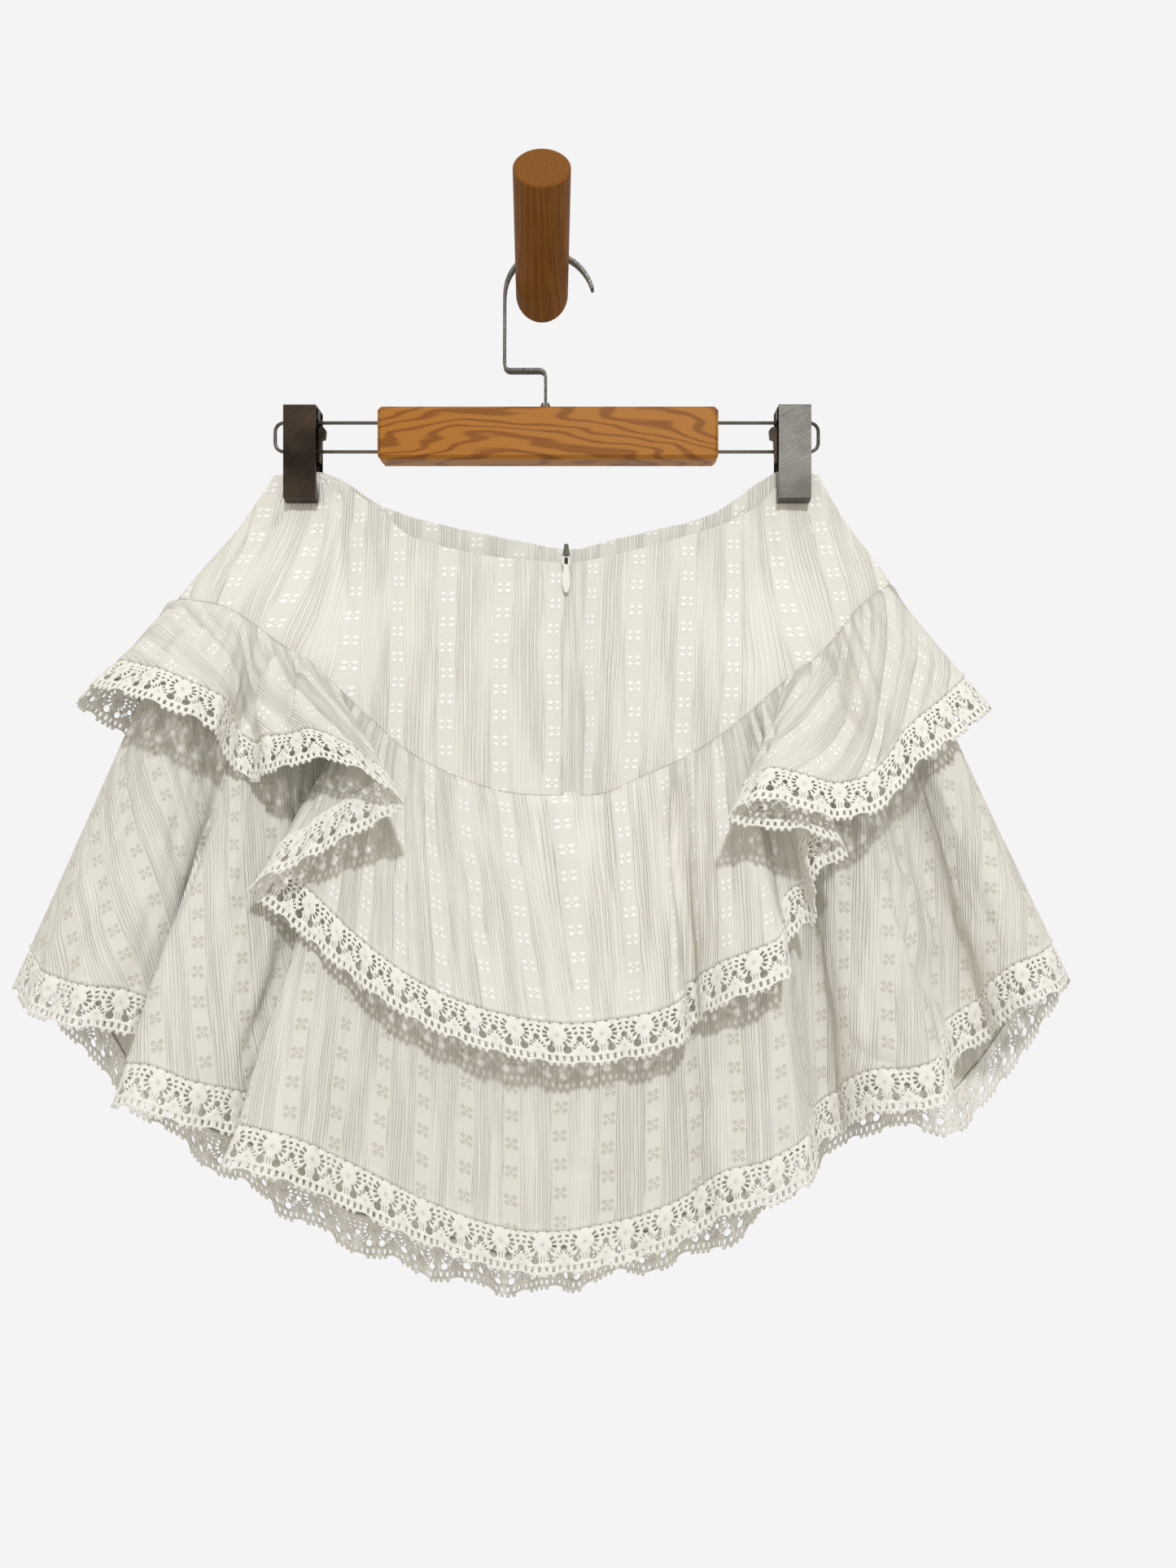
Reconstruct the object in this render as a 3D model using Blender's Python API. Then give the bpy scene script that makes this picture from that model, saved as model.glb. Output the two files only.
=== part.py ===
"""A tiered mini skirt held by a clip hanger, which hangs from a wooden wall peg.

The skirt has a fitted yoke with a pointed lower seam. Two gathered flounces, one over the other, start at
that seam, and each ends in a strip of lace. The zip lies in the middle of the back, which faces the viewer.

Sizes are in millimetres. A place is (x, out, up): x to the right as the viewer sees it, out from the wall
towards the viewer, and up. The origin is the middle of the peg's face on the wall.
"""

import math
from collections import namedtuple

import bmesh
import bpy
import numpy as np
from mathutils import Vector

MM = 0.001

# Cloth
WALL = 1.0
SEAM_GAP = 0.3
LACE_GAP = 0.45  # along the threads, which cross the hem at a slant
LAYER_OFFSET = 0.75  # each flounce's middle surface, either side of the yoke's, where both are sewn on
LACE_HEIGHT = 25.0
LACE_REPEAT = 24.0
LACE_HOLE_LOW, LACE_HOLE_HIGH = 8.4, 14.2  # heights above the lace's lower edge

# Hanger
HANGER_OUT = 12.5  # the plane of the rails, clips and waist, from the wall
BAR_LEFT, BAR_RIGHT = -100.5, 109.5
BAR_TOP, BAR_BOTTOM = -78.3, -110.8
BAR_DEPTH = 19.0
RAIL_UPPER, RAIL_LOWER = -86.0, -104.0
RAIL_RADIUS = 1.1
RAIL_END_LEFT, RAIL_END_RIGHT = -166.8, 173.8
RAIL_CORNER = 5.5  # radius of the rounded corners at the rails' outer ends
CLIP_LEFT, CLIP_RIGHT = -148.2, 156.5  # middle of each clip
CLIP_WIDTH = 19.9
CLIP_TOP, CLIP_BOTTOM = -77.5, -136.6
CLIP_DEPTH = 19.0
CLIP_SHEET = 1.2
HOOK_THICK, HOOK_WIDTH, HOOK_OUT = 1.7, 7.0, 8.5
HOOK_LEAN = 0.0455  # towards the wall, for each millimetre up

# Wall peg
PEG_RADIUS, PEG_REACH, PEG_TILT = 16.5, 78.0, math.radians(25)
PEG_LEAN = 3.2  # how far its near end lies to the right of its wall face

# Zip
ZIP_X = 16.0
BACK_WAIST_AT_ZIP, SLIDER_TOP = -176.0, -165.3
PULL_AXIS_OUT, PULL_AXIS_UP = 31.4, -173.6
PULL_THICK = 1.0
BAIL_RADIUS, BAIL_WIRE = 1.75, 0.4

Fold = namedtuple("Fold", "x out up seam_x")
Level = namedtuple("Level", "x up")

# The seam between yoke and flounces: in plan an ellipse with squared ends
SEAM_MIDDLE, SEAM_HALF = -3.3, 215.6
SEAM_OUT, SEAM_NEAR, SEAM_FAR = 29.0, 12.0, 6.0
SEAM_POWER = 4
SEAM_LEVELS = (
    Level(-219, -199),
    Level(-186, -206),
    Level(-158, -225),
    Level(-122, -252),
    Level(-101, -272),
    Level(-79, -291),
    Level(-51, -306),
    Level(-25, -315),
    Level(16, -318),
    Level(38, -317),
    Level(65, -305),
    Level(82, -298),
    Level(111, -280),
    Level(144, -252),
    Level(174, -227),
    Level(188, -209),
    Level(213, -189),
)

# The waist, pinched by the clips and sagging between them
WAIST_MIDDLE, WAIST_HALF = 3.0, 169.0
WAIST_NEAR, WAIST_FAR, PINCHED = 13.5, 3.5, 0.9
BACK_WAIST = (
    Level(-166, -119),
    Level(-136, -119),
    Level(-120, -127),
    Level(-103, -139),
    Level(-81, -158),
    Level(-63, -165),
    Level(-37, -171),
    Level(-1, -175),
    Level(16, -176),
    Level(46, -171),
    Level(73, -164),
    Level(92, -158),
    Level(108, -152),
    Level(123, -145),
    Level(134, -138),
    Level(146, -127),
    Level(172, -118),
)
FRONT_WAIST = (
    Level(-166, -119),
    Level(-136, -117),
    Level(-123, -122),
    Level(-107, -133),
    Level(-84, -143),
    Level(-60, -149),
    Level(-28, -156),
    Level(-2, -161),
    Level(16, -164),
    Level(45, -158),
    Level(74, -151),
    Level(93, -147),
    Level(111, -140),
    Level(123, -132),
    Level(137, -122),
    Level(148, -116),
    Level(172, -118),
)

# Lower edge of the upper flounce's lace on the back, left to right, and where each fold starts on the seam
UPPER_FOLDS = (
    Fold(-273, 45, -266, -214),
    Fold(-253, 72, -259, -206),
    Fold(-228, 88, -262, -198),
    Fold(-200, 93, -272, -187),
    Fold(-182, 83, -281, -178),
    Fold(-179, 68, -295, -172),
    Fold(-170, 62, -308, -167),
    Fold(-159, 72, -310, -162),
    Fold(-151, 86, -306, -157),
    Fold(-134, 97, -302, -151),
    Fold(-114, 104, -298, -146),
    Fold(-94, 110, -304, -140),
    Fold(-78, 110, -314, -134),
    Fold(-71, 105, -322, -129),
    Fold(-79, 100, -330, -124),
    Fold(-103, 96, -341, -119),
    Fold(-132, 94, -356, -114),
    Fold(-155, 91, -366, -109),
    Fold(-162, 82, -373, -105),
    Fold(-152, 75, -382, -101),
    Fold(-130, 78, -399, -96),
    Fold(-104, 85, -419, -88),
    Fold(-66, 91, -443, -75),
    Fold(-24, 90, -460, -48),
    Fold(20, 88, -468, -7),
    Fold(48, 86, -466, 36),
    Fold(68, 91, -461, 58),
    Fold(80, 94, -455, 72),
    Fold(84, 85, -453, 78),
    Fold(86, 76, -449, 82),
    Fold(91, 77, -446, 87),
    Fold(93, 88, -440, 91),
    Fold(101, 97, -433, 96),
    Fold(122, 101, -425, 107),
    Fold(137, 98, -419, 114),
    Fold(141, 87, -410, 118),
    Fold(142, 77, -401, 121),
    Fold(151, 73, -394, 124),
    Fold(159, 80, -389, 127),
    Fold(156, 88, -374, 130),
    Fold(155, 94, -361, 133),
    Fold(166, 98, -355, 136),
    Fold(172, 102, -349, 139),
    Fold(152, 105, -339, 144),
    Fold(113, 107, -334, 151),
    Fold(104, 111, -330, 155),
    Fold(116, 115, -321, 158),
    Fold(136, 114, -323, 162),
    Fold(160, 109, -331, 168),
    Fold(184, 103, -327, 176),
    Fold(196, 99, -319, 183),
    Fold(210, 94, -302, 189),
    Fold(244, 75, -281, 199),
    Fold(268, 45, -267, 209),
)

# The same for the lower flounce
LOWER_FOLDS = (
    Fold(-309, 50, -431, -214),
    Fold(-288, 76, -440, -209),
    Fold(-256, 92, -446, -203),
    Fold(-234, 86, -450, -197),
    Fold(-218, 76, -459, -192),
    Fold(-207, 65, -469, -188),
    Fold(-197, 57, -477, -184),
    Fold(-194, 69, -482, -178),
    Fold(-209, 82, -486, -172),
    Fold(-227, 92, -488, -166),
    Fold(-229, 100, -487, -160),
    Fold(-214, 106, -487, -155),
    Fold(-192, 104, -496, -149),
    Fold(-178, 95, -502, -141),
    Fold(-167, 84, -508, -134),
    Fold(-160, 71, -514, -129),
    Fold(-148, 60, -518, -125),
    Fold(-141, 70, -520, -119),
    Fold(-154, 83, -521, -113),
    Fold(-169, 92, -521, -107),
    Fold(-170, 100, -520, -102),
    Fold(-157, 103, -522, -97),
    Fold(-134, 98, -530, -90),
    Fold(-100, 89, -549, -77),
    Fold(-47, 82, -576, -49),
    Fold(-5, 80, -588, -18),
    Fold(39, 80, -584, 32),
    Fold(79, 84, -570, 62),
    Fold(107, 91, -550, 87),
    Fold(128, 97, -543, 106),
    Fold(149, 96, -532, 122),
    Fold(156, 84, -527, 129),
    Fold(159, 67, -522, 134),
    Fold(169, 58, -518, 139),
    Fold(178, 64, -512, 144),
    Fold(179, 77, -503, 149),
    Fold(190, 90, -494, 156),
    Fold(211, 97, -491, 166),
    Fold(228, 94, -486, 174),
    Fold(234, 80, -478, 180),
    Fold(241, 64, -472, 185),
    Fold(254, 54, -467, 189),
    Fold(263, 60, -459, 192),
    Fold(265, 74, -447, 195),
    Fold(274, 85, -436, 199),
    Fold(291, 82, -430, 204),
    Fold(310, 56, -427, 209),
)

# Lower edge of the lace on the front, which hangs next to the wall
UPPER_FRONT = (
    Level(-273, -266),
    Level(-225, -322),
    Level(-160, -387),
    Level(-80, -447),
    Level(0, -479),
    Level(80, -452),
    Level(160, -390),
    Level(225, -322),
    Level(268, -267),
)
LOWER_FRONT = (
    Level(-309, -431),
    Level(-285, -472),
    Level(-242, -516),
    Level(-181, -560),
    Level(-122, -594),
    Level(-77, -611),
    Level(-27, -623),
    Level(0, -624),
    Level(46, -614),
    Level(105, -598),
    Level(150, -566),
    Level(192, -530),
    Level(298, -465),
    Level(310, -427),
)
FrontWaves = namedtuple("FrontWaves", "count near_wall away_from_wall margin")
UPPER_WAVES = FrontWaves(count=12, near_wall=3.8, away_from_wall=13.0, margin=16)
LOWER_WAVES = FrontWaves(count=13, near_wall=15.5, away_from_wall=29.0, margin=16)

# How fast a flounce comes forward between the seam and its hem, as a power of the way down
UPPER_RISE, LOWER_RISE = 0.85, 1.15
BACK_ROWS, FRONT_ROWS = (0.0, 0.2, 0.38, 0.62, 1.0), (0.0, 0.3, 1.0)  # shares of the way down
COLUMN_WIDTH = 30.0  # widest column of faces along the hem
COLUMN_TURN = 0.6  # radians of a fold that one column of faces may turn through
SIDE_WIDTH, SIDE_REACH = 8.0, 30.0  # narrower columns beside each side seam, and how far they reach
CURVE_STEPS = 14
BACK_HOLES = ((0.12, 0.37), (0.63, 0.88))  # shares of a repeat
FRONT_HOLES = ((0.33, 0.62),)
SIDE_GAP = 1.6  # each side of a side seam, at the hem
TOP_GAP = 0.8  # from the seam line down to a flounce's wall
YOKE_ROWS = (0.0, 0.2, 0.36, 0.52, 0.7, 0.86, 0.9925)  # shares of the way to the seam line
YOKE_END = 0.02  # radians from a side to the end of a yoke piece
ZIP_GAP = 0.0016  # radians each side of the zip

COTTON = (0.80, 0.775, 0.715)
LACE = (0.82, 0.80, 0.75)


def place(x, out, up):
    return (x * MM, -out * MM, up * MM)


def material(name, colour, roughness, metallic=0.0):
    made = bpy.data.materials.new(name)
    made.use_nodes = True
    shader = made.node_tree.nodes["Principled BSDF"]
    shader.inputs["Base Color"].default_value = (*colour, 1)
    shader.inputs["Roughness"].default_value = roughness
    shader.inputs["Metallic"].default_value = metallic
    return made


def add_mesh(name, points, faces, finish, smooth=True):
    """An object made from points in millimetres as (x, out, up), each face wound as seen from outside."""
    mesh = bpy.data.meshes.new(name)
    mesh.from_pydata([place(*point) for point in points], [], [tuple(map(int, face)) for face in faces])
    mesh.materials.append(finish)
    if smooth:
        mesh.shade_smooth()
        mesh.set_sharp_from_angle(angle=math.radians(40))
    obj = bpy.data.objects.new(name, mesh)
    bpy.context.scene.collection.objects.link(obj)
    return obj


def level_at(levels, x):
    """Height at x on a smooth curve through the rows."""
    xs = np.array([row.x for row in levels], float)
    ups = np.array([row.up for row in levels], float)
    slopes = np.gradient(ups, xs)
    x = np.clip(x, xs[0], xs[-1])
    i = np.clip(np.searchsorted(xs, x) - 1, 0, len(xs) - 2)
    width = xs[i + 1] - xs[i]
    t = (x - xs[i]) / width
    start = (1 + 2 * t) * (1 - t) ** 2 * ups[i] + t * (1 - t) ** 2 * width * slopes[i]
    end = t * t * (3 - 2 * t) * ups[i + 1] + t * t * (t - 1) * width * slopes[i + 1]
    return start + end


def smoothstep(value):
    value = np.clip(value, 0, 1)
    return value * value * (3 - 2 * value)


def seam_ring(angle):
    """The seam at an angle round the skirt: 0 at the left side, pi at the right, pi to 2 pi on the front."""
    x = SEAM_MIDDLE - SEAM_HALF * np.cos(angle)
    depth = np.where(np.sin(angle) > 0, SEAM_NEAR, -SEAM_FAR)
    out = SEAM_OUT + depth * (1 - np.cos(angle) ** SEAM_POWER) ** (1 / SEAM_POWER)
    return np.stack([x, out, level_at(SEAM_LEVELS, x)], -1)


def outward(angle):
    """The direction away from the inside of the skirt, in plan."""
    tangent = seam_ring(angle + 0.002) - seam_ring(angle - 0.002)
    normal = np.stack([-tangent[..., 1], tangent[..., 0], np.zeros_like(tangent[..., 0])], -1)
    return normal / np.linalg.norm(normal, axis=-1, keepdims=True)


def seam_angle(x):
    return math.acos((SEAM_MIDDLE - x) / SEAM_HALF)


LEFT_SIDE = seam_angle(UPPER_FOLDS[0].seam_x)
RIGHT_SIDE = seam_angle(UPPER_FOLDS[-1].seam_x)


def yoke(angle, down, near):
    """A point of the yoke's back (near) or front: down runs from 0 at the waist to 1 at the seam."""
    side = np.abs(np.cos(angle))
    waist_x = WAIST_MIDDLE - WAIST_HALF * np.cos(angle)
    waist_up = level_at(BACK_WAIST if near else FRONT_WAIST, waist_x)
    free = smoothstep((0.80 - side) / 0.45)
    sign, depth = (1, WAIST_NEAR) if near else (-1, WAIST_FAR)
    waist_out = HANGER_OUT + sign * (PINCHED + depth * free)
    seam = seam_ring(angle)
    seam_out = SEAM_OUT + sign * np.maximum(PINCHED, np.abs(seam[..., 1] - SEAM_OUT))
    held = smoothstep((down - 0.3) / 0.7)
    blend = down * free + held * (1 - free)
    x = waist_x + (seam[..., 0] - waist_x) * down
    up = waist_up + (seam[..., 2] - waist_up) * down
    out = waist_out + (seam_out - waist_out) * blend
    return np.stack([x, out, up], -1)


def centripetal(rows, steps):
    """Points on a closed Catmull-Rom curve through the rows, with the last column only joined smoothly."""
    rows = np.asarray(rows, float)
    count = len(rows)
    gap = np.linalg.norm(np.roll(rows, -1, 0)[:, :3] - rows[:, :3], axis=1) ** 0.5
    made = []
    for i in range(count):
        p = [rows[(i + k) % count].copy() for k in (-1, 0, 1, 2)]
        for k, at in enumerate((i - 1, i, i + 1, i + 2)):
            p[k][3] += 2 * math.pi * (at // count)
        t0 = 0.0
        t1 = t0 + gap[i - 1]
        t2 = t1 + gap[i]
        t3 = t2 + gap[(i + 1) % count]
        for t in np.linspace(t1, t2, steps, endpoint=False):
            a1 = (t1 - t) / (t1 - t0) * p[0] + (t - t0) / (t1 - t0) * p[1]
            a2 = (t2 - t) / (t2 - t1) * p[1] + (t - t1) / (t2 - t1) * p[2]
            a3 = (t3 - t) / (t3 - t2) * p[2] + (t - t2) / (t3 - t2) * p[3]
            b1 = (t2 - t) / (t2 - t0) * a1 + (t - t0) / (t2 - t0) * a2
            b2 = (t3 - t) / (t3 - t1) * a2 + (t - t1) / (t3 - t1) * a3
            point = (t2 - t) / (t2 - t1) * b1 + (t - t1) / (t2 - t1) * b2
            point[3] = p[1][3] + (p[2][3] - p[1][3]) * (t - t1) / (t2 - t1)
            made.append(point)
    return np.array(made)


def front_rows(levels, waves):
    """Rows for the front's hem, right to left: even waves between the two sides."""
    left, right = levels[0].x + waves.margin, levels[-1].x - waves.margin
    rows = []
    for i in range(2 * waves.count + 1):
        along = i / (2 * waves.count)
        x = right + (left - right) * along
        out = waves.near_wall if i % 2 else waves.away_from_wall
        angle = RIGHT_SIDE + (2 * math.pi + LEFT_SIDE - RIGHT_SIDE) * (0.03 + 0.94 * along)
        rows.append((x, out, float(level_at(levels, x)), angle))
    return rows


class Flounce:
    """A gathered tier: straight threads run from the seam down to a folded, closed hem curve."""

    def __init__(self, folds, front, waves, layer, rise):
        rows = [(f.x, f.out, f.up, seam_angle(f.seam_x)) for f in folds]
        curve = centripetal(rows + front_rows(front, waves), CURVE_STEPS)
        self.side = CURVE_STEPS * (len(folds) - 1)  # sample at the right side seam
        closed = np.vstack([curve, curve[:1] + (0, 0, 0, 2 * math.pi)])
        steps = np.linalg.norm(np.diff(closed[:, :3], axis=0), axis=1)
        self.along = np.concatenate([[0], np.cumsum(steps)])
        self.curve = closed
        self.layer, self.rise = layer, rise
        self.total = self.along[-1]
        self.right = self.along[self.side]

    def hem(self, s):
        s = np.mod(s, self.total)
        return np.stack([np.interp(s, self.along, self.curve[:, k]) for k in range(4)], -1)

    def ends(self, s):
        hem = self.hem(s)
        top = seam_ring(hem[..., 3]) + self.layer * outward(hem[..., 3])
        return top, hem[..., :3]

    def drop(self, s):
        top, hem = self.ends(s)
        return np.linalg.norm(hem - top, axis=-1)

    def columns(self, start, end):
        """Places along the hem from start to end, closer together where it turns and beside a side seam."""
        s = np.linspace(start, end, 2000)
        step = np.diff(self.hem(s)[:, :2], axis=0)
        heading = np.unwrap(np.arctan2(step[:, 1], step[:, 0]))
        turn = np.abs(np.diff(heading, prepend=heading[0]))
        width = np.where(np.minimum(s - start, end - s)[1:] < SIDE_REACH, SIDE_WIDTH, COLUMN_WIDTH)
        load = np.concatenate([[0], np.cumsum((s[1] - s[0]) / width + turn / COLUMN_TURN)])
        return np.interp(np.linspace(0, load[-1], round(load[-1]) + 1), load, s)

    def at(self, s, v):
        """The point s along the hem, v of the way down."""
        top, hem = self.ends(s)
        v = np.asarray(v)
        x = top[..., 0] + (hem[..., 0] - top[..., 0]) * v
        up = top[..., 2] + (hem[..., 2] - top[..., 2]) * v
        out = top[..., 1] + (hem[..., 1] - top[..., 1]) * np.maximum(v, 0) ** self.rise
        return np.stack([x, out, up], -1)


def thick(name, surface, params, faces, finish, step=(0.4, 0.004)):
    """A wall of even thickness on a surface: faces index params, wound as seen from outside the skirt."""
    params = np.asarray(params, float)
    a, b = params[:, 0], params[:, 1]
    points = surface(a, b)
    along = surface(a + step[0], b) - surface(a - step[0], b)
    down = surface(a, b + step[1]) - surface(a, b - step[1])
    normal = np.cross(along, down)
    normal /= np.linalg.norm(normal, axis=1, keepdims=True)
    outer = points + normal * WALL / 2
    inner = points - normal * WALL / 2
    count = len(points)
    solid = [tuple(face) for face in faces]
    edges = {}
    for face in faces:
        for start, end in zip(face, face[1:] + face[:1]):
            edges[(start, end)] = True
    rims = [
        (end, start, start + count, end + count)
        for start, end in edges
        if (end, start) not in edges
    ]
    # Each inner face starts at the same corner as its outer face, so that both split along the same diagonal.
    solid += [tuple(count + i for i in [face[0]] + face[:0:-1]) for face in faces] + rims
    return add_mesh(name, np.vstack([outer, inner]), solid, finish)


def grid(first, second):
    """Parameters and faces of a plain grid, first round the skirt and second down it."""
    params = [(a, b) for b in second for a in first]
    width = len(first)
    faces = []
    for j in range(len(second) - 1):
        for i in range(width - 1):
            at = j * width + i
            faces.append([at, at + width, at + width + 1, at + 1])
    return params, faces


def stitched(upper, lower):
    """Triangles between two rows of (place, index), which may have different counts."""
    faces, i, j = [], 0, 0
    while i < len(upper) - 1 or j < len(lower) - 1:
        step_upper = j == len(lower) - 1 or (i < len(upper) - 1 and upper[i + 1][0] <= lower[j + 1][0])
        if step_upper:
            faces.append([upper[i][1], lower[j][1], upper[i + 1][1]])
            i += 1
        else:
            faces.append([upper[i][1], lower[j][1], lower[j + 1][1]])
            j += 1
    return faces


def lace_pattern(columns, holes):
    """Parameters and faces of a strip of lace with its large holes cut: holes are (from, to) in a repeat."""
    start, end = columns[0], columns[-1]
    repeats = round((end - start) / LACE_REPEAT)
    pitch = (end - start) / repeats
    edges = sorted({start, end} | {start + pitch * (k + h) for k in range(repeats) for hole in holes for h in hole})
    heights = (LACE_HEIGHT, LACE_HOLE_HIGH, LACE_HOLE_LOW, 0.0)
    rows, params = [], []
    for height, places in zip(heights, (columns, edges, edges, columns)):
        rows.append([(s, len(params) + k) for k, s in enumerate(places)])
        params += [(s, height) for s in places]
    faces = stitched(rows[0], rows[1]) + stitched(rows[2], rows[3])
    for k in range(len(edges) - 1):
        middle = ((edges[k] + edges[k + 1]) / 2 - start) / pitch % 1
        if any(hole[0] < middle < hole[1] for hole in holes):
            continue
        top, bottom = rows[1], rows[2]
        faces.append([top[k][1], bottom[k][1], bottom[k + 1][1], top[k + 1][1]])
    return params, faces


def make_flounce(label, flounce, cotton, lace):
    """The back and front cloth of a tier, and the lace sewn to each."""
    spans = {
        "back": (SIDE_GAP, flounce.right - SIDE_GAP, BACK_ROWS, BACK_HOLES),
        "front": (flounce.right + SIDE_GAP, flounce.total - SIDE_GAP, FRONT_ROWS, FRONT_HOLES),
    }

    def cloth(s, r):
        drop = flounce.drop(s)
        first = TOP_GAP / drop
        last = 1 - (LACE_HEIGHT + LACE_GAP) / drop
        return flounce.at(s, first + (last - first) * r)

    def edging(s, height):
        return flounce.at(s, 1 - height / flounce.drop(s))

    for side, (start, end, rows, holes) in spans.items():
        columns = list(flounce.columns(start, end))
        thick(f"{label}_flounce_{side}", cloth, *grid(columns, rows), cotton)
        params, faces = lace_pattern(columns, holes)
        thick(f"{label}_lace_{side}", edging, params, faces, lace, step=(0.4, -0.4))


def zip_angle():
    return math.acos((WAIST_MIDDLE - ZIP_X) / WAIST_HALF)


def make_yoke(cotton):
    """The yoke: one front, and two backs that meet at the zip."""
    middle = zip_angle()
    spans = {
        "yoke_back_left": (YOKE_END, middle - ZIP_GAP, 13, True),
        "yoke_back_right": (middle + ZIP_GAP, math.pi - YOKE_END, 12, True),
        "yoke_front": (math.pi + YOKE_END, 2 * math.pi - YOKE_END, 21, False),
    }
    for name, (start, end, count, near) in spans.items():
        params, faces = grid(np.linspace(start, end, count), YOKE_ROWS)
        thick(name, lambda a, b, near=near: yoke(a, b, near), params, faces, cotton, step=(0.004, 0.004))


def extruded(name, outline, low_out, high_out, finish, bevel=0.0, lean=0.0):
    """A flat outline of (x, up) points, anticlockwise to the viewer, given depth from the wall."""
    count = len(outline)
    lowest = min(up for _, up in outline)
    points = [(x, out - lean * (up - lowest), up) for out in (high_out, low_out) for x, up in outline]
    faces = [list(range(count)), [count + i for i in reversed(range(count))]]
    faces += [[(i + 1) % count, i, count + i, count + (i + 1) % count] for i in range(count)]
    obj = add_mesh(name, points, faces, finish, smooth=False)
    if bevel:
        edges = obj.modifiers.new("edges", "BEVEL")
        edges.width = bevel * MM
        edges.segments = 1
    return obj


def strip_outline(path, thickness):
    """The outline of a strip that is bent along a path of (x, up) points."""
    path = np.array(path, float)
    tangent = np.gradient(path, axis=0)
    tangent /= np.linalg.norm(tangent, axis=1, keepdims=True)
    side = np.stack([-tangent[:, 1], tangent[:, 0]], 1) * thickness / 2
    return [tuple(p) for p in np.vstack([path - side, (path + side)[::-1]])]


def arc(middle, radius, start, end, count):
    """Points on an arc, with angles in degrees from +x towards up."""
    turns = np.radians(np.linspace(start, end, count))
    return [(middle[0] + radius * math.cos(t), middle[1] + radius * math.sin(t)) for t in turns]


def make_hook(steel):
    """A flat strip over the peg, with a jog to the middle of the bar, and the ferrule where it goes in."""
    top, middle_x, spring, half = 23.3, 4.9, -6.5, 28.1
    crook = []
    for turn in np.radians(np.linspace(14, 180, 27)):
        cosine, sine = math.cos(turn), abs(math.sin(turn))
        power = 2 / 2.3 if cosine < 0 else 2 / 1.9  # fuller on the left, where the peg fills it
        x = middle_x + half * math.copysign(abs(cosine) ** power, cosine)
        crook.append((x, spring + (top - spring) * sine**power))
    left = middle_x - half
    jog_up, bend, drop_x = -51.8, 3.6, 2.6
    path = crook + [(left, -20.0), (left, jog_up + bend + 8)]
    path += arc((left + bend, jog_up + bend), bend, 180, 270, 5)
    path += [(left + bend + 6, jog_up), (drop_x - bend - 4, jog_up)]
    path += arc((drop_x - bend, jog_up - bend), bend, 90, 0, 5)
    path += [(drop_x, jog_up - bend - 8), (drop_x, BAR_TOP + SEAM_GAP)]
    outline = strip_outline(path, HOOK_THICK)
    low, high = HOOK_OUT - HOOK_WIDTH / 2, HOOK_OUT + HOOK_WIDTH / 2
    extruded("hanger_hook", outline, low, high, steel, lean=HOOK_LEAN)
    inner, outer, height = 1.25, 4.0, 5.2
    collar = [(drop_x + inner, BAR_TOP + SEAM_GAP), (drop_x + outer, BAR_TOP + SEAM_GAP)]
    collar += [(drop_x + outer - 0.6, BAR_TOP + 2.2), (drop_x + inner + 0.9, BAR_TOP + height)]
    collar += [(drop_x + inner, BAR_TOP + height)]
    extruded("ferrule_right", collar, HOOK_OUT - 3.2, HOOK_OUT + 3.2, steel)
    mirrored = [(2 * drop_x - x, up) for x, up in reversed(collar)]
    extruded("ferrule_left", mirrored, HOOK_OUT - 3.2, HOOK_OUT + 3.2, steel)


def make_bar(wood):
    outline = [(BAR_LEFT, BAR_BOTTOM), (BAR_RIGHT, BAR_BOTTOM), (BAR_RIGHT, BAR_TOP), (BAR_LEFT, BAR_TOP)]
    low, high = HANGER_OUT - BAR_DEPTH / 2, HANGER_OUT + BAR_DEPTH / 2
    extruded("hanger_bar", outline, low, high, wood, bevel=2.2)


def make_rail(name, inner, outer, steel):
    """Two rods of wire from the bar's end that turn into one another at the outer end."""
    side = math.copysign(1, outer - inner)
    centre = outer - side * (RAIL_CORNER + RAIL_RADIUS)
    upper = arc((0, RAIL_UPPER - RAIL_CORNER), RAIL_CORNER, 90, 0, 6)
    turn = upper + [(x, RAIL_UPPER + RAIL_LOWER - up) for x, up in reversed(upper)]
    turn = [(centre + side * x, up) for x, up in turn]
    points = [(inner, RAIL_UPPER)] + turn + [(inner, RAIL_LOWER)]
    curve = bpy.data.curves.new(name, "CURVE")
    curve.dimensions = "3D"
    curve.bevel_depth = RAIL_RADIUS * MM
    curve.bevel_resolution = 2
    curve.use_fill_caps = True
    spline = curve.splines.new("POLY")
    spline.points.add(len(points) - 1)
    for point, (x, up) in zip(spline.points, points):
        point.co = (*place(x, HANGER_OUT, up), 1)
    curve.materials.append(steel)
    obj = bpy.data.objects.new(name, curve)
    bpy.context.scene.collection.objects.link(obj)


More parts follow.
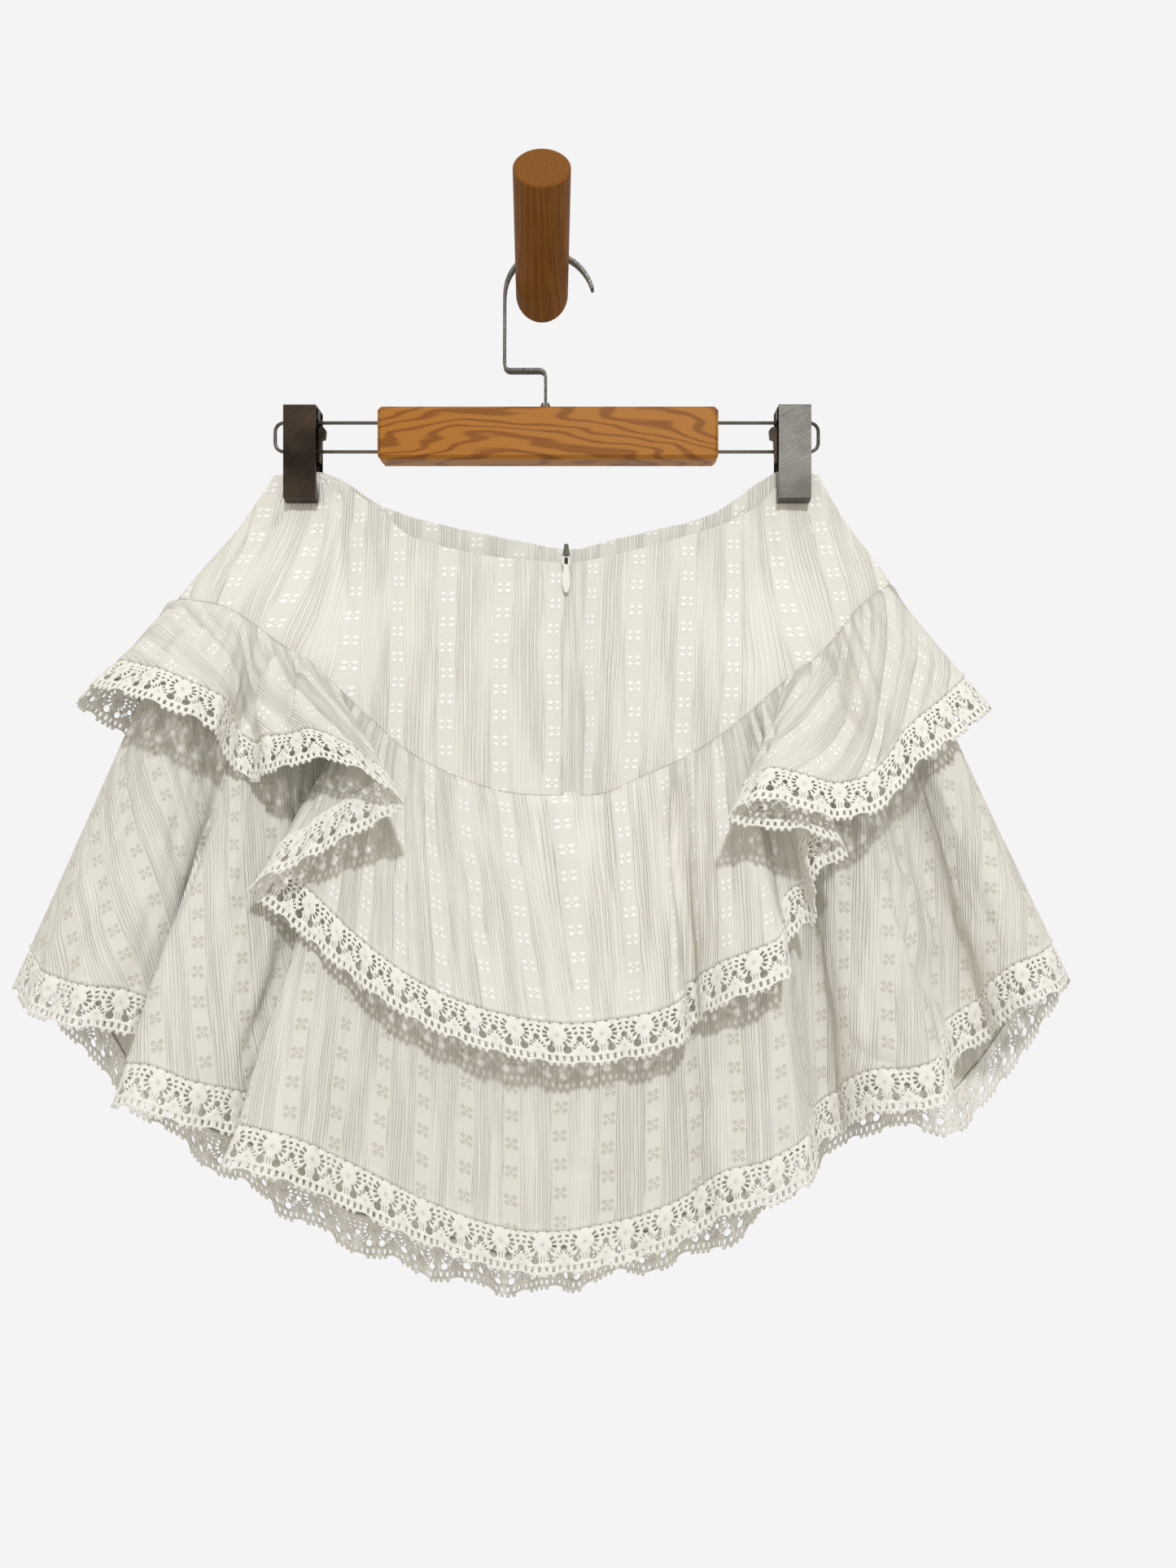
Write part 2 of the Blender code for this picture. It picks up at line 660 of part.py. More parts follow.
def make_clip(name, middle, steel):
    """A strip of spring steel folded over the rails, with a saddle on the upper one, whose lips bite the waist."""
    half = CLIP_DEPTH / 2
    saddle, seat = 3.0, RAIL_UPPER + RAIL_RADIUS + SEAM_GAP
    grip = PINCHED + WALL / 2 + SEAM_GAP
    lip = CLIP_BOTTOM + 5
    front = [
        (saddle, seat),
        (saddle, CLIP_TOP - CLIP_SHEET),
        (half - CLIP_SHEET, CLIP_TOP - CLIP_SHEET),
        (half - CLIP_SHEET, CLIP_BOTTOM + 15),
        (grip, lip + 1),
        (grip, CLIP_BOTTOM),
        (grip + CLIP_SHEET + 0.6, CLIP_BOTTOM),
        (half, CLIP_BOTTOM + 1.6),
        (half, CLIP_TOP - 0.8),
        (half - 0.8, CLIP_TOP),
    ]
    profile = front + [(-out, up) for out, up in reversed(front)]
    low, high = middle - CLIP_WIDTH / 2, middle + CLIP_WIDTH / 2
    count = len(profile)
    points = [(x, HANGER_OUT + out, up) for x in (low, high) for out, up in profile]
    faces = [list(range(count)), [count + i for i in reversed(range(count))]]
    faces += [[(i + 1) % count, i, count + i, count + (i + 1) % count] for i in range(count)]
    obj = add_mesh(name, points, faces, steel, smooth=False)
    mesh = bmesh.new()
    mesh.from_mesh(obj.data)
    bmesh.ops.recalc_face_normals(mesh, faces=mesh.faces)
    mesh.to_mesh(obj.data)
    mesh.free()


def make_lever(name, x, side, steel):
    """The spring's small lever beside a clip, in front of the rails."""
    out = HANGER_OUT + RAIL_RADIUS + SEAM_GAP
    ring = ((0, -112), (1.3, -112), (2.2, -98), (4.4, -97.2), (4.9, -92), (3.4, -90), (0, -90))
    outline = [(x + side * dx, up) for dx, up in ring]
    if side < 0:
        outline.reverse()
    extruded(name, outline, out, out + 3.0, steel)


def make_peg(wood):
    """A round peg that leans upwards and a little to the right, cut flat where it meets the wall."""
    sides = 36
    axis = (0, math.cos(PEG_TILT), math.sin(PEG_TILT))
    up_axis = (0, -math.sin(PEG_TILT), math.cos(PEG_TILT))
    length = PEG_REACH / math.cos(PEG_TILT)
    points = []
    rim = 0.8
    for ring, (reach, radius) in enumerate(((None, PEG_RADIUS), (length - rim, PEG_RADIUS), (length, PEG_RADIUS - rim))):
        for k in range(sides):
            turn = 2 * math.pi * k / sides
            dx, dup = radius * math.cos(turn), radius * math.sin(turn)
            at = -dup * up_axis[1] / axis[1] if ring == 0 else reach
            out = at * axis[1] + dup * up_axis[1]
            points.append((dx + PEG_LEAN * out / PEG_REACH, out, at * axis[2] + dup * up_axis[2]))
    faces = [list(reversed(range(sides))), [2 * sides + k for k in range(sides)]]
    for ring in range(2):
        for k in range(sides):
            a, b = ring * sides + k, ring * sides + (k + 1) % sides
            faces.append([a, b, b + sides, a + sides])
    add_mesh("wall_peg", points, faces, wood)


def make_zip(steel, plastic, tape):
    """The slider at the top of the closed zip, its hanging pull, and the tape behind the seam."""
    behind = WALL + SEAM_GAP

    def tape_surface(across, down):
        point = yoke(zip_angle() + across / WAIST_HALF, down, True)
        point[..., 1] -= behind
        return point

    thick("zip_tape", tape_surface, *grid((-12.0, 0.0, 12.0), np.linspace(0, 0.98, 6)), tape, step=(0.4, 0.004))
    x, out, up = ZIP_X, PULL_AXIS_OUT, PULL_AXIS_UP
    edge = BACK_WAIST_AT_ZIP + SEAM_GAP
    body = [(x - 1.7, edge), (x + 1.7, edge), (x + 2.3, edge + 3.0), (x + 1.2, SLIDER_TOP)]
    body += [(x - 1.2, SLIDER_TOP), (x - 2.3, edge + 3.0)]
    face = out - PULL_THICK / 2 - 0.6
    slider = extruded("zip_slider", body, face - 5.4, face, steel)
    turns = np.linspace(-math.pi / 2, math.pi / 2, 11)
    bail = [(x, out + BAIL_RADIUS * math.cos(t), up + BAIL_RADIUS * math.sin(t)) for t in turns]
    bail = [(x, face - 0.6, up - BAIL_RADIUS)] + bail + [(x, face - 0.6, up + BAIL_RADIUS)]
    helper = tube_mesh("slider_bail", bail, BAIL_WIRE, 8, steel)
    combine(slider, helper, "UNION")
    bar = PULL_THICK / 2
    ring = [(2.2, bar), (2.3, -4.2), (1.5, -5.6), (1.8, -8.0), (2.3, -13.0), (2.2, -17.0), (1.3, -20.5), (0.5, -21.4)]
    outline = [(x - dx, up + dup) for dx, dup in ring] + [(x + dx, up + dup) for dx, dup in reversed(ring)]
    pull = extruded("zip_pull", outline, out - bar, out + bar, plastic)
    window = [(x - 1.15, up - 4.4), (x + 1.15, up - 4.4), (x + 1.15, up - bar), (x - 1.15, up - bar)]
    combine(pull, extruded("pull_window", window, out - 3, out + 3, plastic), "DIFFERENCE")


def combine(obj, helper, operation):
    helper.hide_render = True
    helper.display_type = "WIRE"
    boolean = obj.modifiers.new(operation.lower(), "BOOLEAN")
    boolean.object = helper
    boolean.operation = operation


def tube_mesh(name, path, radius, sides, finish):
    """A closed round tube along a path in a plane of constant x."""
    points = []
    for k, (x, out, up) in enumerate(path):
        before, after = path[max(k - 1, 0)], path[min(k + 1, len(path) - 1)]
        along = Vector((after[1] - before[1], after[2] - before[2])).normalized()
        for turn in np.linspace(0, 2 * math.pi, sides, endpoint=False):
            dx, across = radius * math.cos(turn), radius * math.sin(turn)
            points.append((x + dx, out - across * along.y, up + across * along.x))
    faces = [list(range(sides)), [len(points) - 1 - i for i in range(sides)]]
    for ring in range(len(path) - 1):
        for k in range(sides):
            a, b = ring * sides + k, ring * sides + (k + 1) % sides
            faces.append([b, a, a + sides, b + sides])
    return add_mesh(name, points, faces, finish)


def main():
    for obj in list(bpy.data.objects):
        bpy.data.objects.remove(obj)
    cotton = material("cotton", COTTON, 0.9)
    lace = material("lace", LACE, 0.9)
    wood = material("varnished_wood", (0.55, 0.27, 0.09), 0.3)
    steel = material("steel", (0.5, 0.49, 0.47), 0.25, 1.0)
    plastic = material("pull_plastic", (0.83, 0.81, 0.76), 0.45)
    make_yoke(cotton)
    upper = Flounce(UPPER_FOLDS, UPPER_FRONT, UPPER_WAVES, LAYER_OFFSET, UPPER_RISE)
    lower = Flounce(LOWER_FOLDS, LOWER_FRONT, LOWER_WAVES, -LAYER_OFFSET, LOWER_RISE)
    make_flounce("upper", upper, cotton, lace)
    make_flounce("lower", lower, cotton, lace)
    make_zip(steel, plastic, cotton)
    make_bar(wood)
    make_rail("rail_left", BAR_LEFT - SEAM_GAP, RAIL_END_LEFT, steel)
    make_rail("rail_right", BAR_RIGHT + SEAM_GAP, RAIL_END_RIGHT, steel)
    make_clip("clip_left", CLIP_LEFT, steel)
    make_clip("clip_right", CLIP_RIGHT, steel)
    make_lever("lever_left", CLIP_LEFT + CLIP_WIDTH / 2 + SEAM_GAP, 1, steel)
    make_lever("lever_right", CLIP_RIGHT - CLIP_WIDTH / 2 - SEAM_GAP, -1, steel)
    make_hook(steel)
    make_peg(wood)


main()
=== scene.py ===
"""Looks of the tiered mini skirt on its clip hanger and wall peg.

Sizes are in millimetres until a mesh is made. A place is (x, out, up): x to the right as the viewer sees
it, out from the wall towards the viewer, and up. The cloth pieces are thin shells on the surfaces of the
solids that they replace, worked out from the same tables, with finer folds, gathers and the lace pattern.
"""

import math
from collections import namedtuple

import bpy
import numpy as np
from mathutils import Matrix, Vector, geometry


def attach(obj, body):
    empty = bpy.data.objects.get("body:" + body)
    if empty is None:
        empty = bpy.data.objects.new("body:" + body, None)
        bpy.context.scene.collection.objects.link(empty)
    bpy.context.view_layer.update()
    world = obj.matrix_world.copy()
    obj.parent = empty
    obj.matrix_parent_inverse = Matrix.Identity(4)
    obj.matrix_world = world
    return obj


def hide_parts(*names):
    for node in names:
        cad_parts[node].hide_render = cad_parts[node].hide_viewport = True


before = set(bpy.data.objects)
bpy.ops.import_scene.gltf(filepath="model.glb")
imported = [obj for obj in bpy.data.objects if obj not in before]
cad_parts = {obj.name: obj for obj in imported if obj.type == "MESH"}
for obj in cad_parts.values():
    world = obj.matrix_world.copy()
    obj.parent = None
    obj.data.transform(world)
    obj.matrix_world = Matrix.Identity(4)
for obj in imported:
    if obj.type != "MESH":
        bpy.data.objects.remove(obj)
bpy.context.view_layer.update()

MM = 0.001

# Camera: the photograph's point of view, in metres, and its focal length in pixels of its 1927-pixel height
CAMERA_PLACE = (0.0292, -0.690, -0.311)
FOCAL_PIXELS, PHOTO_HEIGHT = 1336, 1927
SENSOR = 36.0

# Light and floor, in metres and watts: FILL lights the piece from all round, BACKDROP is seen behind it
FLOOR_UP, FLOOR_WIDTH = -1.55, 2.2
KEY_PLACE, KEY_AIM, KEY_SIZE = (0.30, -2.40, 1.50), (0, 0, -0.35), 0.16
KEY_WATTS, KEY_COLOUR = 46.5, (0.94, 0.968, 1.0)
FILL, BACKDROP = (0.595, 0.56, 0.50), (0.905, 0.905, 0.905)

# Cloth and lace
CLOTH_THICK, LACE_THICK = 0.6, 0.8
LAYER_OFFSET = 0.75  # each tier's distance from the seam line, the upper one out and the lower one in
LACE_HEIGHT = 25.0
LACE_TUCK = 2.0  # the lace runs up behind the hem by this much
LACE_REPEAT = 24.0
STRIPE_PITCH, STRIPE_WIDTH = 27.5, 10.0
FLOWER_PITCH = 15.6
PETAL_ASIDE, PETAL_ALONG = 2.1, 1.9  # from a flower's middle to a petal's
PETAL_HALF_WIDTH, PETAL_HALF_LENGTH = 1.9, 1.7
TWILL_TURN = 4.2  # radians per millimetre across the twill's dots
RIB_PITCH, RIB_SWERVE = 2.1, 9.0
HEM_OVERLAP = 0.4  # the cloth runs down over the lace's edge by this much
HEM_ROLL, HEM_ROLL_HEIGHT = 0.9, 3.2
UPPER_TOP, LOWER_TOP = -2.4, 1.6  # where each tier's cloth starts, down from the seam line

# COTTON is the cloth's own colour; the second colour is painted shade laid into the crinkle's rib grooves
COTTON, RIB_GROOVE_SHADE = (0.83, 0.81, 0.755), (0.765, 0.738, 0.668)

HANGER_OUT = 12.5  # how far from the wall the clips hold the cloth
PINCHED = 0.9  # half of what is between the back and the front in a clip
ZIP_X = 16.0
YOKE_SIDE = 0.33  # half of what parts the back from the front at a side seam
YOKE_END, ZIP_LAP = 0.012, 0.009  # in radians: short of a side seam, and past the zip for the right back
PEG_TILT = math.radians(25)

Fold = namedtuple("Fold", "x out up seam_x")
Level = namedtuple("Level", "x up")
FrontWaves = namedtuple("FrontWaves", "count near_wall away_from_wall margin")

SEAM_MIDDLE, SEAM_HALF = -3.3, 215.6
SEAM_OUT, SEAM_NEAR, SEAM_FAR = 29.0, 12.0, 6.0
SEAM_POWER = 4
WAIST_MIDDLE, WAIST_HALF = 3.0, 169.0
WAIST_NEAR, WAIST_FAR = 13.5, 3.5
SEAM_LEVELS = (
    Level(-219, -199),
    Level(-186, -206),
    Level(-158, -225),
    Level(-122, -252),
    Level(-101, -272),
    Level(-79, -291),
    Level(-51, -306),
    Level(-25, -315),
    Level(16, -318),
    Level(38, -317),
    Level(65, -305),
    Level(82, -298),
    Level(111, -280),
    Level(144, -252),
    Level(174, -227),
    Level(188, -209),
    Level(213, -189),
)

# The waist, pinched by the clips and sagging between them
BACK_WAIST = (
    Level(-166, -119),
    Level(-136, -119),
    Level(-120, -127),
    Level(-103, -139),
    Level(-81, -158),
    Level(-63, -165),
    Level(-37, -171),
    Level(-1, -175),
    Level(16, -176),
    Level(46, -171),
    Level(73, -164),
    Level(92, -158),
    Level(108, -152),
    Level(123, -145),
    Level(134, -138),
    Level(146, -127),
    Level(172, -118),
)
FRONT_WAIST = (
    Level(-166, -119),
    Level(-136, -117),
    Level(-123, -122),
    Level(-107, -133),
    Level(-84, -143),
    Level(-60, -149),
    Level(-28, -156),
    Level(-2, -161),
    Level(16, -164),
    Level(45, -158),
    Level(74, -151),
    Level(93, -147),
    Level(111, -140),
    Level(123, -132),
    Level(137, -122),
    Level(148, -116),
    Level(172, -118),
)

# Lower edge of the upper flounce's lace on the back, left to right, and where each fold starts on the seam
UPPER_FOLDS = (
    Fold(-273, 45, -266, -214),
    Fold(-253, 72, -259, -206),
    Fold(-228, 88, -262, -198),
    Fold(-200, 93, -272, -187),
    Fold(-182, 83, -281, -178),
    Fold(-179, 68, -295, -172),
    Fold(-170, 62, -308, -167),
    Fold(-159, 72, -310, -162),
    Fold(-151, 86, -306, -157),
    Fold(-134, 97, -302, -151),
    Fold(-114, 104, -298, -146),
    Fold(-94, 110, -304, -140),
    Fold(-78, 110, -314, -134),
    Fold(-71, 105, -322, -129),
    Fold(-79, 100, -330, -124),
    Fold(-103, 96, -341, -119),
    Fold(-132, 94, -356, -114),
    Fold(-155, 91, -366, -109),
    Fold(-162, 82, -373, -105),
    Fold(-152, 75, -382, -101),
    Fold(-130, 78, -399, -96),
    Fold(-104, 85, -419, -88),
    Fold(-66, 91, -443, -75),
    Fold(-24, 90, -460, -48),
    Fold(20, 88, -468, -7),
    Fold(48, 86, -466, 36),
    Fold(68, 91, -461, 58),
    Fold(80, 94, -455, 72),
    Fold(84, 85, -453, 78),
    Fold(86, 76, -449, 82),
    Fold(91, 77, -446, 87),
    Fold(93, 88, -440, 91),
    Fold(101, 97, -433, 96),
    Fold(122, 101, -425, 107),
    Fold(137, 98, -419, 114),
    Fold(141, 87, -410, 118),
    Fold(142, 77, -401, 121),
    Fold(151, 73, -394, 124),
    Fold(159, 80, -389, 127),
    Fold(156, 88, -374, 130),
    Fold(155, 94, -361, 133),
    Fold(166, 98, -355, 136),
    Fold(172, 102, -349, 139),
    Fold(152, 105, -339, 144),
    Fold(113, 107, -334, 151),
    Fold(104, 111, -330, 155),
    Fold(116, 115, -321, 158),
    Fold(136, 114, -323, 162),
    Fold(160, 109, -331, 168),
    Fold(184, 103, -327, 176),
    Fold(196, 99, -319, 183),
    Fold(210, 94, -302, 189),
    Fold(244, 75, -281, 199),
    Fold(268, 45, -267, 209),
)

# The same for the lower flounce
LOWER_FOLDS = (
    Fold(-309, 50, -431, -214),
    Fold(-288, 76, -440, -209),
    Fold(-256, 92, -446, -203),
    Fold(-234, 86, -450, -197),
    Fold(-218, 76, -459, -192),
    Fold(-207, 65, -469, -188),
    Fold(-197, 57, -477, -184),
    Fold(-194, 69, -482, -178),
    Fold(-209, 82, -486, -172),
    Fold(-227, 92, -488, -166),
    Fold(-229, 100, -487, -160),
    Fold(-214, 106, -487, -155),
    Fold(-192, 104, -496, -149),
    Fold(-178, 95, -502, -141),
    Fold(-167, 84, -508, -134),
    Fold(-160, 71, -514, -129),
    Fold(-148, 60, -518, -125),
    Fold(-141, 70, -520, -119),
    Fold(-154, 83, -521, -113),
    Fold(-169, 92, -521, -107),
    Fold(-170, 100, -520, -102),
    Fold(-157, 103, -522, -97),
    Fold(-134, 98, -530, -90),
    Fold(-100, 89, -549, -77),
    Fold(-47, 82, -576, -49),
    Fold(-5, 80, -588, -18),
    Fold(39, 80, -584, 32),
    Fold(79, 84, -570, 62),
    Fold(107, 91, -550, 87),
    Fold(128, 97, -543, 106),
    Fold(149, 96, -532, 122),
    Fold(156, 84, -527, 129),
    Fold(159, 67, -522, 134),
    Fold(169, 58, -518, 139),
    Fold(178, 64, -512, 144),
    Fold(179, 77, -503, 149),
    Fold(190, 90, -494, 156),
    Fold(211, 97, -491, 166),
    Fold(228, 94, -486, 174),
    Fold(234, 80, -478, 180),
    Fold(241, 64, -472, 185),
    Fold(254, 54, -467, 189),
    Fold(263, 60, -459, 192),
    Fold(265, 74, -447, 195),
    Fold(274, 85, -436, 199),
    Fold(291, 82, -430, 204),
    Fold(310, 56, -427, 209),
)

# Lower edge of the lace on the front, which hangs next to the wall
UPPER_FRONT = (
    Level(-273, -266),
    Level(-225, -322),
    Level(-160, -387),
    Level(-80, -447),
    Level(0, -479),
    Level(80, -452),
    Level(160, -390),
    Level(225, -322),
    Level(268, -267),
)
LOWER_FRONT = (
    Level(-309, -431),
    Level(-285, -472),
    Level(-242, -516),
    Level(-181, -560),
    Level(-122, -594),
    Level(-77, -611),
    Level(-27, -623),
    Level(0, -624),
    Level(46, -614),
    Level(105, -598),
    Level(150, -566),
    Level(192, -530),
    Level(298, -465),
    Level(310, -427),
)
UPPER_WAVES = FrontWaves(count=12, near_wall=3.8, away_from_wall=13.0, margin=16)
LOWER_WAVES = FrontWaves(count=13, near_wall=15.5, away_from_wall=29.0, margin=16)

# How fast a flounce comes forward between the seam and its hem, as a power of the way down
UPPER_RISE, LOWER_RISE = 0.85, 1.15
CURVE_STEPS = 14  # points on the hem's curve for each row
SIDE_GAP = -0.15  # between a tier's back or front and its side seam; below 0 the two overlap
SIDE_CALM = 14.0  # relief dies away over this much cloth beside a side seam


def place(points):
    """Points in millimetres as (x, out, up), in metres in the row's frame."""
    points = np.asarray(points, float)
    return np.stack([points[..., 0], -points[..., 1], points[..., 2]], -1) * MM


def smoothstep(value):
    value = np.clip(value, 0, 1)
    return value * value * (3 - 2 * value)


def level_at(levels, x):
    """Height at x on a smooth curve through the rows."""
    xs = np.array([row.x for row in levels], float)
    ups = np.array([row.up for row in levels], float)
    slopes = np.gradient(ups, xs)
    x = np.clip(x, xs[0], xs[-1])
    i = np.clip(np.searchsorted(xs, x) - 1, 0, len(xs) - 2)
    width = xs[i + 1] - xs[i]
    t = (x - xs[i]) / width
    start = (1 + 2 * t) * (1 - t) ** 2 * ups[i] + t * (1 - t) ** 2 * width * slopes[i]
    end = t * t * (3 - 2 * t) * ups[i + 1] + t * t * (t - 1) * width * slopes[i + 1]
    return start + end


def seam_ring(angle):
    """The seam at an angle round the skirt: 0 at the left side, pi at the right, pi to 2 pi on the front."""
    x = SEAM_MIDDLE - SEAM_HALF * np.cos(angle)
    depth = np.where(np.sin(angle) > 0, SEAM_NEAR, -SEAM_FAR)
    out = SEAM_OUT + depth * (1 - np.cos(angle) ** SEAM_POWER) ** (1 / SEAM_POWER)
    return np.stack([x, out, level_at(SEAM_LEVELS, x)], -1)


def outward(angle):
    """The direction away from the inside of the skirt, in plan."""
    tangent = seam_ring(angle + 0.002) - seam_ring(angle - 0.002)
    normal = np.stack([-tangent[..., 1], tangent[..., 0], np.zeros_like(tangent[..., 0])], -1)
    return normal / np.linalg.norm(normal, axis=-1, keepdims=True)


def seam_angle(x):
    return math.acos((SEAM_MIDDLE - x) / SEAM_HALF)


LEFT_SIDE = seam_angle(UPPER_FOLDS[0].seam_x)
RIGHT_SIDE = seam_angle(UPPER_FOLDS[-1].seam_x)


def yoke(angle, down, near):
    """A point of the yoke's back (near) or front: down runs from 0 at the waist to 1 at the seam."""
    side = np.abs(np.cos(angle))
    waist_x = WAIST_MIDDLE - WAIST_HALF * np.cos(angle)
    waist_up = level_at(BACK_WAIST if near else FRONT_WAIST, waist_x)
    free = smoothstep((0.80 - side) / 0.45)
    sign, depth = (1, WAIST_NEAR) if near else (-1, WAIST_FAR)
    waist_out = HANGER_OUT + sign * (PINCHED + depth * free)
    seam = seam_ring(angle)
    seam_out = SEAM_OUT + sign * np.maximum(PINCHED, np.abs(seam[..., 1] - SEAM_OUT))
    held = smoothstep((down - 0.3) / 0.7)
    blend = down * free + held * (1 - free)
    x = waist_x + (seam[..., 0] - waist_x) * down
    up = waist_up + (seam[..., 2] - waist_up) * down
    out = waist_out + (seam_out - waist_out) * blend
    return np.stack([x, out, up], -1)


def centripetal(rows, steps):
    """Points on a closed Catmull-Rom curve through the rows. The last column, an angle, runs evenly."""
    rows = np.asarray(rows, float)
    count = len(rows)
    gap = np.linalg.norm(np.roll(rows, -1, 0)[:, :3] - rows[:, :3], axis=1) ** 0.5
    made = []
    for i in range(count):
        p = [rows[(i + k) % count].copy() for k in (-1, 0, 1, 2)]
        for k, at in enumerate((i - 1, i, i + 1, i + 2)):
            p[k][3] += 2 * math.pi * (at // count)
        t0 = 0.0
        t1 = t0 + gap[i - 1]
        t2 = t1 + gap[i]
        t3 = t2 + gap[(i + 1) % count]
        for t in np.linspace(t1, t2, steps, endpoint=False):
            a1 = (t1 - t) / (t1 - t0) * p[0] + (t - t0) / (t1 - t0) * p[1]
            a2 = (t2 - t) / (t2 - t1) * p[1] + (t - t1) / (t2 - t1) * p[2]
            a3 = (t3 - t) / (t3 - t2) * p[2] + (t - t2) / (t3 - t2) * p[3]
            b1 = (t2 - t) / (t2 - t0) * a1 + (t - t0) / (t2 - t0) * a2
            b2 = (t3 - t) / (t3 - t1) * a2 + (t - t1) / (t3 - t1) * a3
            point = (t2 - t) / (t2 - t1) * b1 + (t - t1) / (t2 - t1) * b2
            point[3] = p[1][3] + (p[2][3] - p[1][3]) * (t - t1) / (t2 - t1)
            made.append(point)
    return np.array(made)


def front_rows(levels, waves):
    """Rows for the front's hem, right to left: even waves between the two sides."""
    left, right = levels[0].x + waves.margin, levels[-1].x - waves.margin
    rows = []
    for i in range(2 * waves.count + 1):
        along = i / (2 * waves.count)
        x = right + (left - right) * along
        out = waves.near_wall if i % 2 else waves.away_from_wall
        angle = RIGHT_SIDE + (2 * math.pi + LEFT_SIDE - RIGHT_SIDE) * (0.03 + 0.94 * along)
        rows.append((x, out, float(level_at(levels, x)), angle))
    return rows


class Flounce:
    """A gathered tier: straight threads run from the seam down to a folded, closed hem curve."""

    def __init__(self, folds, front, waves, layer, rise):
        rows = [(f.x, f.out, f.up, seam_angle(f.seam_x)) for f in folds]
        curve = centripetal(rows + front_rows(front, waves), CURVE_STEPS)
        side = CURVE_STEPS * (len(folds) - 1)
        closed = np.vstack([curve, curve[:1] + (0, 0, 0, 2 * math.pi)])
        steps = np.linalg.norm(np.diff(closed[:, :3], axis=0), axis=1)
        self.along = np.concatenate([[0], np.cumsum(steps)])
        self.curve = closed
        self.layer, self.rise = layer, rise
        self.total = self.along[-1]
        self.right = self.along[side]

    def ends(self, s):
        s = np.mod(s, self.total)
        hem = np.stack([np.interp(s, self.along, self.curve[:, k]) for k in range(4)], -1)
        top = seam_ring(hem[..., 3]) + self.layer * outward(hem[..., 3])
        return top, hem[..., :3]

    def drop(self, s):
        top, hem = self.ends(s)
        return np.linalg.norm(hem - top, axis=-1)

    def seam_place(self, s):
        """How far along the seam the thread at s starts."""
        top, _ = self.ends(self.along)
        walked = np.concatenate([[0], np.cumsum(np.linalg.norm(np.diff(top, axis=0), axis=1))])
        return np.interp(np.mod(s, self.total), self.along, walked)

    def flat_places(self, start, end, flare):
        """Where the hem lies in the flat cloth and which way it heads, from start to end.

        Where more cloth hangs from less seam, the cut curves. flare is the share of that which is cut
        so, the rest being gathered. The heading is 0 in the middle of the piece.
        """
        s = np.linspace(start, end, 1200)
        step = s[1] - s[0]
        fullness = 1 - np.gradient(self.seam_place(s), s)
        turn = np.cumsum(np.clip(fullness, 0, 1) / self.drop(s)) * step * flare
        turn -= np.interp((start + end) / 2, s, turn)
        across = np.cumsum(np.cos(turn)) * step
        across -= np.interp((start + end) / 2, s, across)
        up = np.cumsum(np.sin(turn)) * step
        return s, turn, across, up

    def at(self, s, v):
        """The point s along the hem, v of the way down."""
        top, hem = self.ends(s)
        x = top[..., 0] + (hem[..., 0] - top[..., 0]) * v
        up = top[..., 2] + (hem[..., 2] - top[..., 2]) * v
        out = top[..., 1] + (hem[..., 1] - top[..., 1]) * np.maximum(v, 0) ** self.rise
        return np.stack([x, out, up], -1)


# Uneven cloth

WAVE_KNOTS, AREA_KNOTS = 997, 61


def uneven(values, spacing, seed):
    """A smooth random wave, about one hump or hollow for each spacing, from -1 to 1."""
    knots = np.random.default_rng(seed).uniform(-1, 1, WAVE_KNOTS)
    at = np.asarray(values) / spacing
    low = np.floor(at).astype(int)
    share = smoothstep(at - low)
    return knots[low % WAVE_KNOTS] * (1 - share) + knots[(low + 1) % WAVE_KNOTS] * share


def uneven_area(across, down, spacing, seed):
    """The same over an area."""
    low = np.floor(down / spacing).astype(int)
    share = smoothstep(down / spacing - low)
    knots = np.random.default_rng(seed).uniform(-1, 1, (AREA_KNOTS, AREA_KNOTS))
    at = across / spacing
    left = np.floor(at).astype(int)
    part = smoothstep(at - left)

    def row(k):
        chosen = knots[k % AREA_KNOTS, left % AREA_KNOTS]
        following = knots[k % AREA_KNOTS, (left + 1) % AREA_KNOTS]
        return chosen * (1 - part) + following * part

    return row(low) * (1 - share) + row(low + 1) * share


def normals(points):
    """Outward directions of a grid whose rows run down and whose columns run round the skirt."""
    along = np.gradient(points, axis=1)
    down = np.gradient(points, axis=0)
    normal = np.cross(along, down)
    return normal / np.maximum(np.linalg.norm(normal, axis=-1, keepdims=True), 1e-9)


Crease = namedtuple("Crease", "depth width path")


def creased(points, creases):
    """How far each point moves out for soft troughs (depth below 0) and ridges along paths of (x, up)."""
    moved = np.zeros(points.shape[:-1])
    for crease in creases:
        path = np.array(crease.path, float)
        runs = np.diff(path, axis=0)
        walked = np.concatenate([[0], np.cumsum(np.linalg.norm(runs, axis=1))])
        nearest, reached = np.full(moved.shape, np.inf), np.zeros(moved.shape)
        for start, run, before, after in zip(path, runs, walked, walked[1:]):
            offset = points[..., [0, 2]] - start
            share = np.clip(offset @ run / (run @ run), 0, 1)
            away = np.linalg.norm(offset - share[..., None] * run, axis=-1)
            reached = np.where(away < nearest, before + share * (after - before), reached)
            nearest = np.minimum(nearest, away)
        at = reached / walked[-1]
        fade = smoothstep(np.minimum(at, 1 - at) / 0.3 + 0.15)
        moved += crease.depth * np.exp(-((nearest / crease.width) ** 2)) * fade
    return moved


# Meshes

